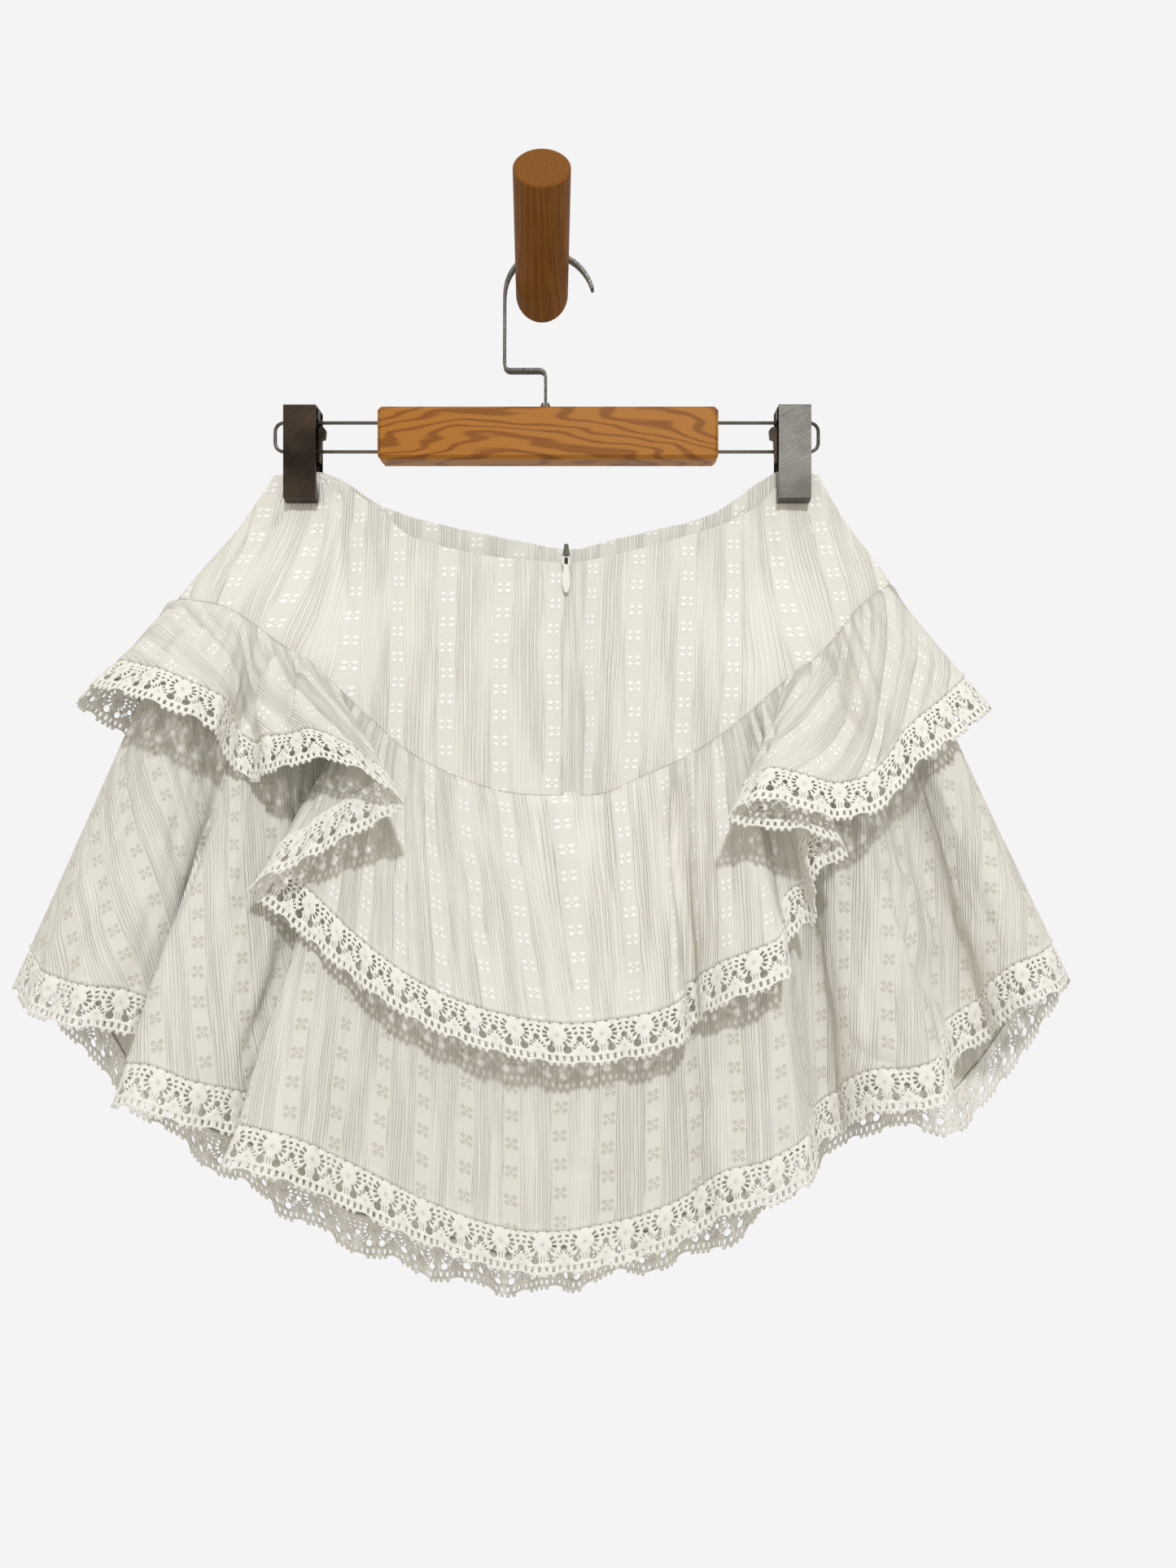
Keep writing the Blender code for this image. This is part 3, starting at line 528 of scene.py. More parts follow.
def new_object(name, points, faces, uv):
    """A smooth mesh object in metres from points in millimetres, with named UV maps in metres of cloth."""
    mesh = bpy.data.meshes.new(name)
    mesh.from_pydata(place(points).tolist(), [], [list(map(int, face)) for face in faces])
    corners = np.empty(len(mesh.loops), np.int32)
    mesh.loops.foreach_get("vertex_index", corners)
    for label, values in uv.items():
        layer = mesh.uv_layers.new(name=label)
        layer.data.foreach_set("uv", np.asarray(values, float)[corners].ravel())
    mesh.polygons.foreach_set("use_smooth", np.ones(len(mesh.polygons), bool))
    obj = bpy.data.objects.new(name, mesh)
    bpy.context.scene.collection.objects.link(obj)
    return obj


def grid_faces(rows, columns):
    at = np.arange(rows * columns).reshape(rows, columns)
    corners = (at[:-1, :-1], at[1:, :-1], at[1:, 1:], at[:-1, 1:])
    return np.stack([corner.ravel() for corner in corners], -1)


def thicken(obj, thickness):
    solid = obj.modifiers.new("thickness", "SOLIDIFY")
    solid.thickness = thickness * MM
    solid.offset = 0


def dress(obj, material, slot, *nodes, body="root"):
    obj.data.materials.append(material)
    if nodes:
        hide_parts(*nodes)
    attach(obj, body)
    return obj


def cloth_piece(node, points, across, down, material):
    """A shell of cloth from a grid of points, with its place in the flat cloth as a UV map."""
    rows, columns = points.shape[:2]
    uv = {"cloth": np.stack([across, down], -1).reshape(-1, 2) * MM}
    obj = new_object(node + "_cloth", points.reshape(-1, 3), grid_faces(rows, columns), uv)
    thicken(obj, CLOTH_THICK)
    dress(obj, material, "cotton", node)
    return obj


# Materials

class Finish:
    """Builds one material's node tree."""

    def __init__(self, name, colour=(0.8, 0.8, 0.8), roughness=0.5, metallic=0.0, **more):
        self.material = bpy.data.materials.new(name)
        self.material.use_nodes = True
        self.tree = self.material.node_tree
        self.shader = self.tree.nodes["Principled BSDF"]
        self.set("Base Color", (*colour, 1))
        self.set("Roughness", roughness)
        self.set("Metallic", metallic)
        for label, value in more.items():
            self.set(label.replace("_", " "), value)

    def set(self, label, value):
        self.shader.inputs[label].default_value = value

    def node(self, kind, **settings):
        made = self.tree.nodes.new(kind)
        for label, value in settings.items():
            setattr(made, label, value)
        return made

    def feed(self, socket, value):
        if isinstance(value, bpy.types.NodeSocket):
            self.tree.links.new(value, socket)
        else:
            socket.default_value = value

    def math(self, operation, *values):
        made = self.node("ShaderNodeMath", operation=operation)
        for socket, value in zip(made.inputs, values):
            self.feed(socket, value)
        return made.outputs[0]

    def add(self, first, second):
        return self.math("ADD", first, second)

    def minus(self, first, second):
        return self.math("SUBTRACT", first, second)

    def times(self, first, second):
        return self.math("MULTIPLY", first, second)

    def vector(self, x, y, z=0.0):
        made = self.node("ShaderNodeCombineXYZ")
        for socket, value in zip(made.inputs, (x, y, z)):
            self.feed(socket, value)
        return made.outputs[0]

    def scaled(self, *parts):
        """A vector of values, each times its factor."""
        return self.vector(*[self.times(value, factor) for value, factor in parts])

    def noise(self, vector, scale=1.0, detail=2.0):
        made = self.node("ShaderNodeTexNoise")
        self.feed(made.inputs["Vector"], vector)
        made.inputs["Scale"].default_value = scale
        made.inputs["Detail"].default_value = detail
        return made.outputs["Fac"]

    def ramp(self, value, start, end, low=0.0, high=1.0):
        """low up to start, high from end on, and smooth between."""
        made = self.node("ShaderNodeMapRange", interpolation_type="SMOOTHSTEP")
        for socket, given in zip(made.inputs, (value, start, end, low, high)):
            self.feed(socket, given)
        return made.outputs[0]

    def mix(self, factor, first, second):
        made = self.node("ShaderNodeMix", data_type="RGBA")
        self.feed(made.inputs[0], factor)
        for socket, value in ((made.inputs[6], first), (made.inputs[7], second)):
            self.feed(socket, (*value, 1) if isinstance(value, tuple) else value)
        return made.outputs[2]

    def blend(self, factor, first, second):
        """A number between first and second."""
        return self.add(self.times(self.minus(second, first), factor), first)

    def uv_mm(self, label):
        """The two values of a UV map, in millimetres."""
        split = self.node("ShaderNodeSeparateXYZ")
        self.feed(split.inputs[0], self.node("ShaderNodeUVMap", uv_map=label).outputs[0])
        return [self.times(socket, 1000) for socket in split.outputs[:2]]

    def place_mm(self):
        """The object's own coordinates, in millimetres."""
        split = self.node("ShaderNodeSeparateXYZ")
        self.feed(split.inputs[0], self.node("ShaderNodeTexCoord").outputs["Object"])
        return [self.times(socket, 1000) for socket in split.outputs]

    def bump(self, height, depth_mm):
        made = self.node("ShaderNodeBump")
        made.inputs["Strength"].default_value = 1.0
        made.inputs["Distance"].default_value = depth_mm * MM
        self.feed(made.inputs["Height"], height)
        self.feed(self.shader.inputs["Normal"], made.outputs[0])

    def colour(self, value):
        self.feed(self.shader.inputs["Base Color"], value)


def repeat(finish, value, pitch):
    """The number of the repeat that a value lies in, and how far it is from the repeat's middle."""
    share = finish.math("DIVIDE", value, pitch)
    number = finish.math("FLOOR", share)
    offset = finish.minus(finish.minus(share, number), 0.5)
    return number, finish.times(offset, pitch)


def crinkle_cotton(name, twill_painted_shade, petal_painted_light, lift):
    """Crinkled cotton with woven bands: twill dots and small four-petal flowers in satin thread. The petals'
    colour is painted light: bright for a painted sheen of the satin thread, dark for painted shade.
    """
    f = Finish(name, COTTON, roughness=0.85, Sheen_Weight=0.1, Sheen_Roughness=0.5)
    across, down = f.uv_mm("cloth")
    slow = f.noise(f.scaled((across, 0.013), (down, 0.02)))
    wander = f.times(f.minus(slow, 0.5), 7.0)
    number, aside = repeat(f, f.add(across, wander), STRIPE_PITCH)
    phase = f.times(number, 0.37 * FLOWER_PITCH)
    _, along = repeat(f, f.add(down, phase), FLOWER_PITCH)
    aside_size, along_size = f.math("ABSOLUTE", aside), f.math("ABSOLUTE", along)
    band = f.ramp(aside_size, STRIPE_WIDTH / 2 - 0.4, STRIPE_WIDTH / 2 + 0.3, 1.0, 0.0)
    petal_x = f.math("DIVIDE", f.math("ABSOLUTE", f.minus(aside_size, PETAL_ASIDE)), PETAL_HALF_WIDTH)
    petal_y = f.math("DIVIDE", f.math("ABSOLUTE", f.minus(along_size, PETAL_ALONG)), PETAL_HALF_LENGTH)
    petals = f.ramp(f.add(petal_x, petal_y), 0.7, 1.15, 1.0, 0.0)
    heart = f.ramp(f.add(aside_size, along_size), 0.7, 1.2, 1.0, 0.0)
    flower = f.times(f.math("MAXIMUM", petals, heart), band)
    up_slope = f.math("SINE", f.times(f.add(aside, along), TWILL_TURN))
    down_slope = f.math("SINE", f.times(f.minus(aside, along), TWILL_TURN))
    twill = f.ramp(f.times(up_slope, down_slope), -0.6, 0.6)
    swerve = f.noise(f.scaled((across, 0.16), (down, 0.02)), detail=1)
    turns = f.add(f.times(across, 2 * math.pi / RIB_PITCH), f.times(swerve, RIB_SWERVE))
    ribs = f.ramp(f.math("SINE", turns), -0.9, 0.7)
    fine = f.noise(f.scaled((across, 2.6), (down, 0.15)), detail=1)
    patches = f.noise(f.scaled((across, 0.09), (down, 0.012)))
    patches = f.ramp(patches, 0.34, 0.62, 0.4, 1.0)
    plain = f.add(f.times(ribs, 0.8), f.times(fine, 0.25))
    plain = f.times(plain, patches)
    woven = f.add(f.times(twill, 0.12), f.times(flower, lift))
    f.bump(f.blend(band, plain, woven), 0.8)
    # painted shade: the rib grooves take the darker second colour, more so in the patches
    cloth = f.mix(f.times(f.minus(1.0, ribs), patches), COTTON, RIB_GROOVE_SHADE)
    # the band's twill dots are woven; the darker colour between them is painted shade from the weave's tiny
    # shadows
    ground = f.mix(twill, twill_painted_shade, COTTON)
    # painted light: the petals' colour is a painted sheen in one copy and painted shade in the other
    f.colour(f.mix(flower, f.mix(band, cloth, ground), petal_painted_light))
    return f.material


def cotton_lace():
    """Cotton crochet lace, with threads that spread from the middle of each oval and each fan."""
    f = Finish("cotton_lace", roughness=0.8, Sheen_Weight=0.1)
    across, height = f.uv_mm("cloth")
    _, middle = repeat(f, across, LACE_REPEAT)
    aside = f.math("ABSOLUTE", middle)
    from_oval = f.minus(LACE_REPEAT / 2, aside)
    oval_up = f.minus(height, OVAL_UP)
    oval_turn = f.math("ARCTAN2", oval_up, from_oval)
    fan_turn = f.math("ARCTAN2", f.minus(height, FAN_UP), aside)
    rays = f.math("SINE", f.times(oval_turn, 26))
    fan_rays = f.math("SINE", f.times(fan_turn, 18))
    near_oval = f.ramp(f.add(f.math("ABSOLUTE", oval_up), f.times(from_oval, 0.7)), 6.5, 9.0)
    rays = f.ramp(f.blend(near_oval, rays, fan_rays), -0.8, 0.8)
    thread = f.noise(f.vector(across, height), scale=1.6, detail=2)
    f.bump(f.add(f.times(rays, 0.25), thread), 0.25)
    f.colour(f.mix(rays, (0.89, 0.872, 0.82), (0.92, 0.905, 0.86)))
    return f.material


def varnished_wood():
    """Honey-coloured wood with long arched grain under a clear coat."""
    coat = {"Coat_Weight": 0.22, "Coat_Roughness": 0.1}
    f = Finish("varnished_wood", roughness=0.4, Specular_IOR_Level=0.15, **coat)
    x, y, z = f.place_mm()
    warp = f.noise(f.scaled((x, 0.012), (y, 0.03), (z, 0.05)))
    lift = f.add(z, f.times(warp, 34))
    bow = f.times(f.math("POWER", f.math("ABSOLUTE", f.add(x, 20)), 2.0), 0.0016)
    rings = f.math("SINE", f.times(f.add(lift, bow), 0.95))
    fibre = f.noise(f.scaled((x, 0.05), (y, 1.0), (z, 1.6)), detail=3)
    tone = f.mix(f.ramp(rings, 0.0, 1.0), (0.40, 0.155, 0.018), (0.19, 0.052, 0.003))
    f.colour(f.mix(f.times(fibre, 0.5), tone, (0.43, 0.175, 0.024)))
    f.bump(fibre, 0.05)
    return f.material


def peg_wood():
    """Dark oiled wood: rings on the end, long grain on the side."""
    f = Finish("peg_wood", roughness=0.5, Specular_IOR_Level=0.15, Coat_Weight=0.05)
    x, y, z = f.place_mm()
    cosine, sine = math.cos(PEG_TILT), math.sin(PEG_TILT)
    across = f.add(f.times(z, cosine), f.times(y, sine))
    along = f.minus(f.times(z, sine), f.times(y, cosine))
    warp = f.noise(f.scaled((x, 0.12), (across, 0.12), (along, 0.012)))
    off = f.add(x, f.times(warp, 9))
    radius = f.math("SQRT", f.add(f.times(off, off), f.times(across, across)))
    rings = f.ramp(f.math("SINE", f.times(radius, 3.4)), -0.7, 0.9)
    pores = f.noise(f.scaled((x, 1.4), (across, 1.4), (along, 0.05)), detail=3)
    tone = f.mix(rings, (0.17, 0.058, 0.006), (0.27, 0.10, 0.012))
    f.colour(f.mix(f.ramp(pores, 0.35, 0.65), tone, (0.21, 0.076, 0.008)))
    f.bump(pores, 0.25)
    return f.material


def worn_metal(name, colour, dark, roughness, scratch_angle):
    """Rolled steel with fine scratches one way and patches of tarnish."""
    f = Finish(name, colour, roughness=roughness, metallic=1.0)
    x, y, z = f.place_mm()
    cosine, sine = math.cos(scratch_angle), math.sin(scratch_angle)
    along = f.add(f.times(x, cosine), f.times(z, sine))
    across = f.minus(f.times(z, cosine), f.times(x, sine))
    scratches = f.noise(f.scaled((along, 0.07), (across, 2.4), (y, 1.0)), detail=3)
    tarnish = f.noise(f.vector(x, y, z), scale=0.04, detail=2)
    f.colour(f.mix(f.ramp(tarnish, 0.3, 0.7), dark, colour))
    f.feed(f.shader.inputs["Roughness"], f.ramp(scratches, 0.3, 0.7, roughness * 0.8, roughness * 1.5))
    f.bump(scratches, 0.06)
    return f.material


def pull_plastic():
    f = Finish("pull_plastic", (0.86, 0.84, 0.78), roughness=0.35, Coat_Weight=0.3)
    x, y, z = f.place_mm()
    f.bump(f.noise(f.vector(x, y, z), scale=0.5), 0.15)
    return f.material


def studio_floor():
    f = Finish("studio_floor", (0.86, 0.86, 0.85), roughness=0.9)
    x, y, z = f.place_mm()
    f.bump(f.noise(f.vector(x, y, z), scale=0.05), 0.1)
    return f.material


# Lace

OVAL_UP, FAN_UP = 17.5, 9.6  # heights of the oval's middle and of the small fan's


def hole(middle_x, middle_up, width, height, turn=0.0, corners=4):
    """A hole's corners: a rectangle, or a rounded form when it has eight."""
    made = []
    for k in range(corners):
        angle = 2 * math.pi * (k + 0.5) / corners
        x, up = math.cos(angle) * width / 2, math.sin(angle) * height / 2
        if corners == 4:
            x, up = x * math.sqrt(2), up * math.sqrt(2)
        made.append(
            (
                middle_x + x * math.cos(turn) - up * math.sin(turn),
                middle_up + x * math.sin(turn) + up * math.cos(turn),
            )
        )
    return made


def lace_holes():
    """The holes of one repeat. An oval's middle is at each end of the repeat, and a small fan halfway."""
    half = [hole(2, 4.7, 1.6, 2.9), hole(6, 4.6, 1.7, 3.0), hole(9.7, 5.0, 1.4, 2.6)]
    half += [hole(4.5, 9.6, 5.0, 4.4, 0.35, corners=8), hole(0.8, 9.8, 0.5, 3.4)]
    for turn in np.radians((-58, -34, -10, 14, 38)):
        x, up = 6.9 * math.cos(turn), OVAL_UP + 5.4 * math.sin(turn)
        half.append(hole(x, up, 2.7, 1.45, turn))
    for turn in np.radians((112, 138, 164)):
        half.append(hole(12 + 4.0 * math.cos(turn), FAN_UP + 4.0 * math.sin(turn), 2.0, 0.95, turn))
    half += [hole(10.3, 18.9, 1.8, 1.3, 0.6), hole(9.9, 21.6, 2.2, 1.2, 0.3)]
    half += [hole(3, 24.2, 1.6, 0.9), hole(9, 24.2, 1.6, 0.9)]
    whole = half + [[(LACE_REPEAT - x, up) for x, up in reversed(points)] for points in half]
    return whole + [hole(12, 15.5, 3.6, 3.4, corners=8)]


def lace_outline():
    """The outer edge of one repeat: picots below, and plain sides that meet the next repeat."""
    edge = [(0, 1.9)]
    for middle in (1.95, 5.85):
        steps = ((-1.15, 1.9), (-1.05, 0.7), (-0.5, 0.05), (0.5, 0.05), (1.05, 0.7), (1.15, 1.9))
        edge += [(middle + x, up) for x, up in steps]
    edge += [(9.4, 2.5), (12, 2.9)]
    edge += [(LACE_REPEAT - x, up) for x, up in reversed(edge[:-1])]
    sides = [4.2, 6.6, 8.6, 10.8, 13.2, 15.4, 17.5, 19.6, 21.8, 24.8]
    edge += [(LACE_REPEAT, up) for up in sides]
    top = LACE_HEIGHT + LACE_TUCK
    edge += [(x, top) for x in (24, 21, 18, 15, 12, 9, 6, 3, 0)]
    return edge + [(0, up) for up in reversed(sides)]


def inside(points, polygon):
    """Which points lie in a polygon."""
    found = np.zeros(len(points), bool)
    for (x0, y0), (x1, y1) in zip(polygon, polygon[1:] + polygon[:1]):
        if y0 == y1:
            continue
        crosses = (points[:, 1] < y0) != (points[:, 1] < y1)
        found ^= crosses & (points[:, 0] < x0 + (points[:, 1] - y0) * (x1 - x0) / (y1 - y0))
    return found


def lace_cell():
    """The corners and triangles of one flat repeat of the lace."""
    loops = [lace_outline()] + lace_holes()
    corners, edges = [], []
    for loop in loops:
        first = len(corners)
        corners += [Vector(point) for point in loop]
        edges += [(first + k, first + (k + 1) % len(loop)) for k in range(len(loop))]
    fill = [(x, up) for x in (2.2, 4.6) for up in (14.8, 17.5, 20.2)] + [(12, 8.2), (12, 11), (10.6, 9.6)]
    fill += [(LACE_REPEAT - x, up) for x, up in fill]
    corners += [Vector(point) for point in fill]
    made = geometry.delaunay_2d_cdt(corners, edges, [], 0, 1e-4)
    points = np.array([tuple(point) for point in made[0]])
    faces = np.array([tuple(face) for face in made[2]])
    middles = points[faces].mean(axis=1)
    keep = inside(middles, loops[0])
    for loop in loops[1:]:
        keep &= ~inside(middles, loop)
    return points, faces[keep]


def lace_strip(repeats):
    """Many repeats side by side, joined: corners as (repeats along, height) and triangles."""
    points, faces = lace_cell()
    every = np.vstack([points + (LACE_REPEAT * k, 0) for k in range(repeats)])
    joined = np.vstack([faces + len(points) * k for k in range(repeats)])
    _, first, same = np.unique(np.round(every, 3), axis=0, return_index=True, return_inverse=True)
    return every[first], same.ravel()[joined]


# Tiers and yoke

# Where the photograph shows folds of their own on the back of each tier
UPPER_CREASES = (
    Crease(-7.7, 3.5, ((-142.8, -232.6), (-141, -277.8))),
    Crease(-6.4, 4.4, ((-154.6, -221.3), (-172.7, -284.6))),
    Crease(3.8, 8.8, ((-150.5, -232.6), (-157.3, -282.3))),
    Crease(-7.7, 4.0, ((171.8, -216.7), (173.2, -259.7), (180.9, -289.1))),
    Crease(-5.1, 2.9, ((135.2, -254.3), (129.3, -277.8))),
    Crease(-5.1, 2.9, ((122.6, -267.8), (127.1, -296.8))),
    Crease(-3.8, 2.6, ((129.8, -263.3), (132.5, -287.7))),
    Crease(-5.8, 4.2, ((76, -273.2), (82.3, -354.6), (87.7, -401.6), (86.8, -438.3))),
    Crease(-2.8, 2.4, ((-65.1, -320.7), (-66, -362.8))),
    Crease(-2.6, 2.4, ((-68.2, -393.1), (-73.2, -415.7))),
    Crease(-3.4, 9.9, ((-36.1, -318.5), (-31.6, -433.7))),
    Crease(-2.3, 5.5, ((-1.3, -313.9), (0.9, -397.6))),
    Crease(-2.8, 3.3, ((38, -320.7), (35.8, -381.8))),
    Crease(2.6, 6.6, ((50.7, -327.5), (51.6, -417.9))),
)
LOWER_CREASES = (
    Crease(-4.5, 3.5, ((-186.5, -298), (-195.7, -348.2), (-207.1, -393.9))),
    Crease(-4.5, 3.5, ((-142, -385.2), (-152.3, -429.7), (-163.4, -466.2))),
    Crease(-5.6, 3.7, ((201.5, -352.4), (210.6, -390.5), (220.1, -417.2), (229.6, -438.5))),
    Crease(3.3, 7.7, ((210.1, -354.7), (218.3, -381.9), (230.9, -418.1))),
    Crease(-2.2, 3.5, ((170.7, -456.1), (191.1, -465.2), (210.1, -471.5))),
    Crease(-2.0, 3.5, ((-45.6, -479.7), (-8.8, -489.8), (18.8, -488))),
    Crease(-2.0, 3.3, ((64.9, -499), (101.7, -489.8), (133.9, -479.7))),
    Crease(-1.7, 2.9, ((14.3, -529.3), (46.4, -534.8))),
)


def fade(down, rise, reach):
    """0 at the seam, up to 1 within rise millimetres, then dying away over reach millimetres."""
    return smoothstep(down / rise) * np.exp(-((np.maximum(down, 0) / reach) ** 1.5))


def flounce_relief(flounce, s, down, drop, side):
    """How far the cloth lies out from its plain folds: gathers below the seam, crinkles and a wavy hem."""
    q = flounce.seam_place(s)
    gathers = 2.2 * (0.5 + 0.5 * uneven(q, 2.6, 1)) * fade(down, 4, 55)
    gathers += 3.4 * (0.5 + 0.5 * uneven(q, 5.2, 2)) * fade(down, 7, 105)
    crinkles = 0.55 * uneven_area(s, down / 6, 4.0, 3) + 0.6 * uneven_area(s, down / 2, 9.0, 4)
    waves = 1.9 * uneven_area(s, down / 2.5, 19.0, 5)
    hem = 1.0 * uneven(s, 9.5, 6) * smoothstep(1 - (drop - down) / 45)
    under = -1.3 * (1 - smoothstep((down + 0.8) / 2.8))
    from_side = np.minimum(np.abs(s - flounce.right), np.minimum(s, flounce.total - s))
    held = smoothstep(from_side / SIDE_CALM)
    return held * (side * gathers + (crinkles + waves) * smoothstep(down / 45) + hem) + under


def flounce_shell(flounce, s, down, side, offset=0.0):
    """Points of a flounce or its lace, down its threads, moved out by its relief and an offset."""
    drop = flounce.drop(s)

    def base(s, down):
        return flounce.at(s, down / flounce.drop(s))

    along = base(s + 0.6, down) - base(s - 0.6, down)
    fall = base(s, down + 0.6) - base(s, down - 0.6)
    normal = np.cross(along, fall)
    normal /= np.linalg.norm(normal, axis=-1, keepdims=True)
    points = base(s, down)
    facing = smoothstep(normal[..., 1] / 0.35) * smoothstep((flounce.right - s) / SIDE_CALM)
    facing = facing * smoothstep((down - 3) / 16)
    folds = creased(points, UPPER_CREASES if side > 0 else LOWER_CREASES) * facing
    moved = flounce_relief(flounce, s, down, drop, side) + folds + offset
    return points + normal * moved[..., None]


# Distances between rows of points from the seam down, and up from the hem
HEAD = np.array([[0.0], [1.0], [2.2], [3.8], [6.0]])
TAIL = np.array([[5.2], [4.0], [3.0], [2.2], [1.4], [0.7], [0.0]])


def rows_down(first, last, middle):
    """Distances down the cloth, closer together at the seam and at the hem."""
    inner = np.linspace(0, 1, middle + 2)[1:-1, None]
    start, end = first + HEAD[-1], last - TAIL[0]
    return np.vstack([first + HEAD, start + (end - start) * inner, last - TAIL])


def make_lace(label, name, flounce, side, start, end, lace):
    """The lace behind one hem, in whole repeats from side seam to side seam."""
    repeats = round((end - start) / LACE_REPEAT)
    pitch = (end - start) / repeats
    flat, faces = lace_strip(repeats)
    s = start + flat[:, 0] * pitch / LACE_REPEAT
    height = flat[:, 1]
    tuck = -0.75 * smoothstep((height - 21) / 3)
    points = flounce_shell(flounce, s, flounce.drop(s) - height, side, tuck)
    node = f"{label}_lace_{name}"
    obj = new_object(node + "_strip", points, faces[:, ::-1], {"cloth": flat * MM})
    thicken(obj, LACE_THICK)
    dress(obj, lace, "lace", node)


def make_flounce(label, flounce, side, flare, cotton, lace):
    """The back and front of a tier with its rolled hem, and the lace behind each hem.

    side is 1 for the upper tier and -1 for the lower one. flare is the share that is cut and not gathered.
    """
    # name, start and end along the hem, millimetres between columns, rows between the head and the tail
    spans = (
        ("back", SIDE_GAP, flounce.right - SIDE_GAP, 2.1, 52),
        ("front", flounce.right + SIDE_GAP, flounce.total - SIDE_GAP, 3.2, 34),
    )
    for name, start, end, step, middle_rows in spans:
        columns = np.linspace(start, end, round((end - start) / step) + 1)
        drop = flounce.drop(columns)
        top = UPPER_TOP if side > 0 else LOWER_TOP
        bottom = drop - LACE_HEIGHT + HEM_OVERLAP
        down = rows_down(top + 0 * drop, bottom, middle_rows)
        s = np.broadcast_to(columns, down.shape)
        above = bottom - down
        roll = HEM_ROLL * np.sin(np.pi * np.clip(above / HEM_ROLL_HEIGHT, 0, 1))
        roll -= 0.6 * smoothstep(1 - above / 0.8)
        points = flounce_shell(flounce, s, down, side, roll)
        places, turn, across, up = flounce.flat_places(start, end, flare)
        heading, above = np.interp(s, places, turn), drop - down
        across = np.interp(s, places, across) - above * np.sin(heading)
        along = above * np.cos(heading) + np.interp(s, places, up)
        cloth_piece(f"{label}_flounce_{name}", points, across, -along, cotton)
        make_lace(label, name, flounce, side, start, end, lace)


def zip_angle():
    return math.acos((WAIST_MIDDLE - ZIP_X) / WAIST_HALF)


YOKE_CREASES = (
    Crease(-2.8, 3.2, ((-126, -124), (-125, -171))),
    Crease(-2.6, 4.2, ((-125, -160), (-117, -214))),
    Crease(-1.8, 2.4, ((-157, -140), (-200, -183))),
    Crease(1.4, 9.0, ((-148, -150), (-150, -215))),
    Crease(-1.6, 5.0, ((136, -126), (150, -190))),
    Crease(-1.0, 6.0, ((100, -170), (104, -262))),
)
# Where the middle of each woven band lies on the yoke's back, in millimetres from the wall peg's middle
YOKE_BANDS = (-194, -167, -134, -111, -86, -56, -23, 9, 33, 63, 94, 121, 142, 169, 196)


def yoke_relief(points, down, near):
    """How far the yoke's cloth lies out: creases from the clips, a seam step at the zip, a ridged facing."""
    x = points[..., 0]
    aside = x - ZIP_X
    soft = 0.9 * uneven_area(x, down * 30, 16.0, 11) + 0.4 * uneven_area(x, down * 14, 5.0, 12)
    soft = soft * (1 - 0.85 * np.exp(-((aside / 14) ** 2)))
    moved = soft * smoothstep(down / 0.1) * smoothstep((1 - down) / 0.1)
    if near:
        moved += creased(points, YOKE_CREASES) * smoothstep((1 - down) / 0.1)
        moved -= 0.25 * smoothstep((down - 0.982) / 0.018)
        moved -= 0.3 * np.exp(-((aside / 0.8) ** 2))
        return moved - 0.6 * smoothstep((aside + 0.3) / 0.6) * smoothstep((13 - aside) / 11)
    depth = down * 130
    return moved + 1.1 * uneven(x, 2.8, 13) * smoothstep((34 - depth) / 20)


def yoke_across(x, up):
    """The place across the flat cloth, from the bands' places; towards the sides the threads fan out."""
    down = -120 - up
    left = 0.26 * smoothstep((-x - 100) / 70)
    right = 0.20 * smoothstep((x - 110) / 60) - 0.045 * smoothstep((x - 20) / 20)
    straight = x + (left - right) * down
    return np.interp(straight, YOKE_BANDS, (np.arange(len(YOKE_BANDS)) + 0.5) * STRIPE_PITCH)


YOKE_ROWS = np.concatenate([[0, 0.006, 0.014, 0.026], np.linspace(0.04, 0.97, 80), [0.98, 0.99, 1.0]])


def make_yoke(cotton):
    """The yoke: one front, and two backs that meet at the zip, where the left one lies on top."""
    middle = zip_angle()
    spans = (
        ("yoke_back_left", YOKE_END, middle, 150, True),
        ("yoke_back_right", middle - ZIP_LAP, math.pi - YOKE_END, 140, True),
        ("yoke_front", math.pi + YOKE_END, 2 * math.pi - YOKE_END, 170, False),
    )
    for name, start, end, count, near in spans:
        angles = np.linspace(start, end, count)
        angle, down = np.meshgrid(angles, YOKE_ROWS)
        points = yoke(angle, down, near)
        facing = yoke(2 * math.pi - angle, down, not near)
        seam_out = (points[..., 1] + facing[..., 1]) / 2 + (YOKE_SIDE if near else -YOKE_SIDE)
        closed = smoothstep(1 - np.abs(np.sin(angle)) / 0.16)
        points[..., 1] += (seam_out - points[..., 1]) * closed
        moved = yoke_relief(points, down, near) * (1 - closed)
        if name == "yoke_back_right":
            moved -= 0.5 * smoothstep((middle + 0.002 - angle) / 0.003)
        points = points + normals(points) * moved[..., None]
        x, up = points[..., 0], points[..., 2]
        across = yoke_across(x, up) if near else 1.0 * x
        cloth_piece(name, points, across, -up, cotton)


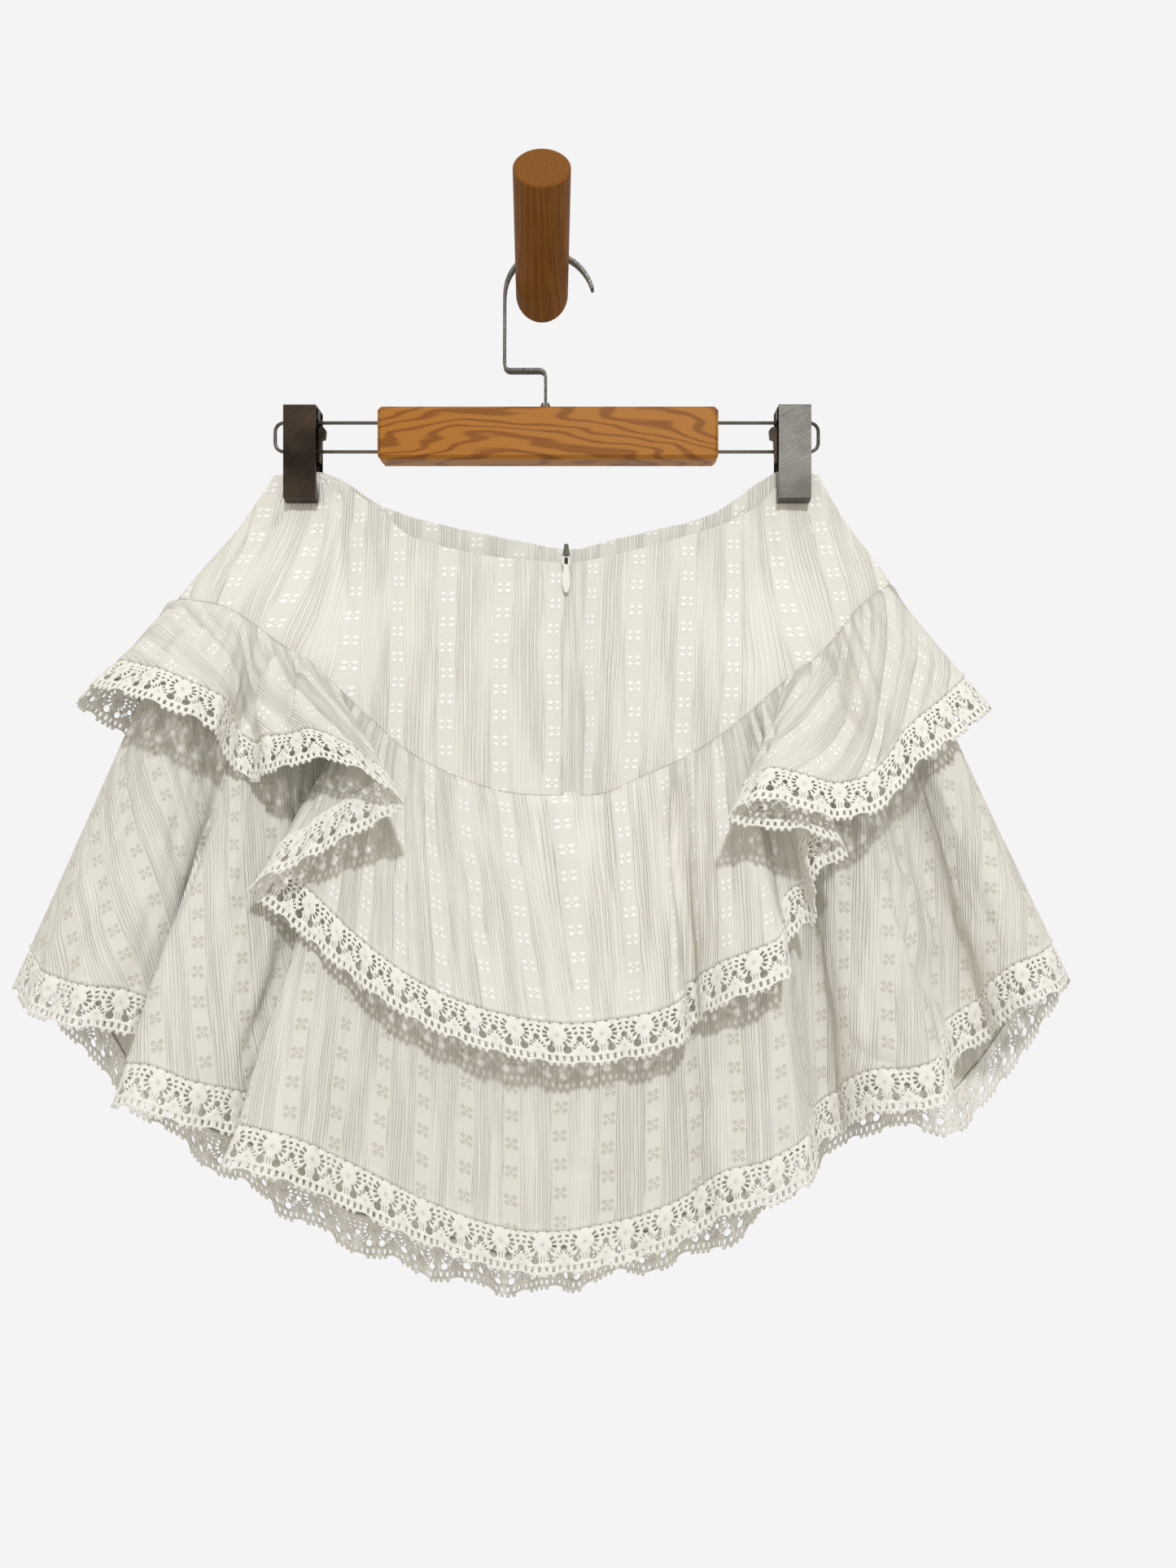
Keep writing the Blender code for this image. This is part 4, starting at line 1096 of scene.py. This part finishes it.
def main():
    # Two copies of one cloth: the first paints a sheen on bright petals; the second, for the lower tier, is
    # a painted-shade copy with darker twill ground and dark petals
    cotton = crinkle_cotton("crinkle_cotton", (0.795, 0.772, 0.708), (0.98, 0.97, 0.945), 0.35)
    painted_shade_cotton = crinkle_cotton("crinkle_cotton_painted_shade", (0.775, 0.752, 0.69), (0.66, 0.63, 0.555), -0.3)
    lace = cotton_lace()
    upper = Flounce(UPPER_FOLDS, UPPER_FRONT, UPPER_WAVES, LAYER_OFFSET, UPPER_RISE)
    lower = Flounce(LOWER_FOLDS, LOWER_FRONT, LOWER_WAVES, -LAYER_OFFSET, LOWER_RISE)
    make_yoke(cotton)
    make_flounce("upper", upper, 1, 0.45, cotton, lace)
    make_flounce("lower", lower, -1, 0.7, painted_shade_cotton, lace)
    steel = worn_metal("steel", (0.20, 0.19, 0.172), (0.13, 0.12, 0.105), 0.3, 0.9)
    hook = worn_metal("hook_steel", (0.115, 0.108, 0.098), (0.08, 0.075, 0.068), 0.45, 0.9)
    dark = worn_metal("clip_steel_dark", (0.085, 0.062, 0.045), (0.035, 0.027, 0.022), 0.28, 0.95)
    grey = worn_metal("clip_steel_grey", (0.17, 0.16, 0.148), (0.12, 0.112, 0.10), 0.36, 0.5)
    softened("hanger_bar", 0.5, varnished_wood(), "varnished_wood")
    softened("clip_left", 0.7, dark, "clip_steel")
    softened("clip_right", 0.7, grey, "clip_steel")
    for name in ("lever_left", "lever_right", "ferrule_left", "ferrule_right"):
        softened(name, 0.5, dark, "steel")
    softened("hanger_hook", 0.25, hook, "steel")
    softened("zip_slider", 0.25, steel, "steel")
    softened("zip_pull", 0.3, pull_plastic(), "pull_plastic", "pull")
    kept = {"wall_peg": peg_wood(), "zip_tape": cotton, "rail_left": steel, "rail_right": steel}
    for name, material in kept.items():
        obj = bpy.data.objects[name]
        obj.data.materials.clear()
        obj.data.materials.append(material)


def softened(node, radius, material, slot, body="root"):
    """The node's own form with its sharp edges rounded."""
    obj = bpy.data.objects.new(node + "_rounded", bpy.data.objects[node].data.copy())
    obj.matrix_world = bpy.data.objects[node].matrix_world
    bpy.context.scene.collection.objects.link(obj)
    obj.data.materials.clear()
    edges = obj.modifiers.new("edges", "BEVEL")
    edges.width = radius * MM
    edges.segments = 3
    edges.limit_method = "ANGLE"
    edges.angle_limit = math.radians(30)
    return dress(obj, material, slot, node, body=body)


def make_stage():
    """A pale floor below, soft light from above on the viewer's side, and the camera."""
    bpy.ops.mesh.primitive_plane_add(size=FLOOR_WIDTH, location=(0, -0.25, FLOOR_UP))
    floor = bpy.context.object
    floor.name = "studio_floor"
    floor.data.materials.append(studio_floor())
    lamp = bpy.data.lights.new("key", "AREA")
    lamp.size = KEY_SIZE
    lamp.energy = KEY_WATTS
    lamp.color = KEY_COLOUR
    key = bpy.data.objects.new("key", lamp)
    key.location = KEY_PLACE
    key.rotation_euler = (Vector(KEY_AIM) - key.location).to_track_quat("-Z", "Y").to_euler()
    bpy.context.scene.collection.objects.link(key)
    world = bpy.data.worlds.new("pale")
    world.use_nodes = True
    tree = world.node_tree
    background = tree.nodes["Background"]
    background.inputs["Color"].default_value = (1, 1, 1, 1)
    path = tree.nodes.new("ShaderNodeLightPath")
    seen = tree.nodes.new("ShaderNodeMix")
    seen.data_type = "RGBA"
    seen.inputs[6].default_value = (*FILL, 1)
    seen.inputs[7].default_value = (*BACKDROP, 1)
    tree.links.new(path.outputs["Is Camera Ray"], seen.inputs[0])
    tree.links.new(seen.outputs[2], background.inputs["Color"])
    scene = bpy.context.scene
    scene.world = world
    scene.view_settings.view_transform = "Standard"
    camera_data = bpy.data.cameras.new("camera")
    camera_data.sensor_width = SENSOR
    camera_data.lens = SENSOR * FOCAL_PIXELS / PHOTO_HEIGHT
    camera = bpy.data.objects.new("camera", camera_data)
    camera.location = CAMERA_PLACE
    camera.rotation_euler = (math.pi / 2, 0, 0)
    scene.collection.objects.link(camera)
    scene.camera = camera


main()
make_stage()
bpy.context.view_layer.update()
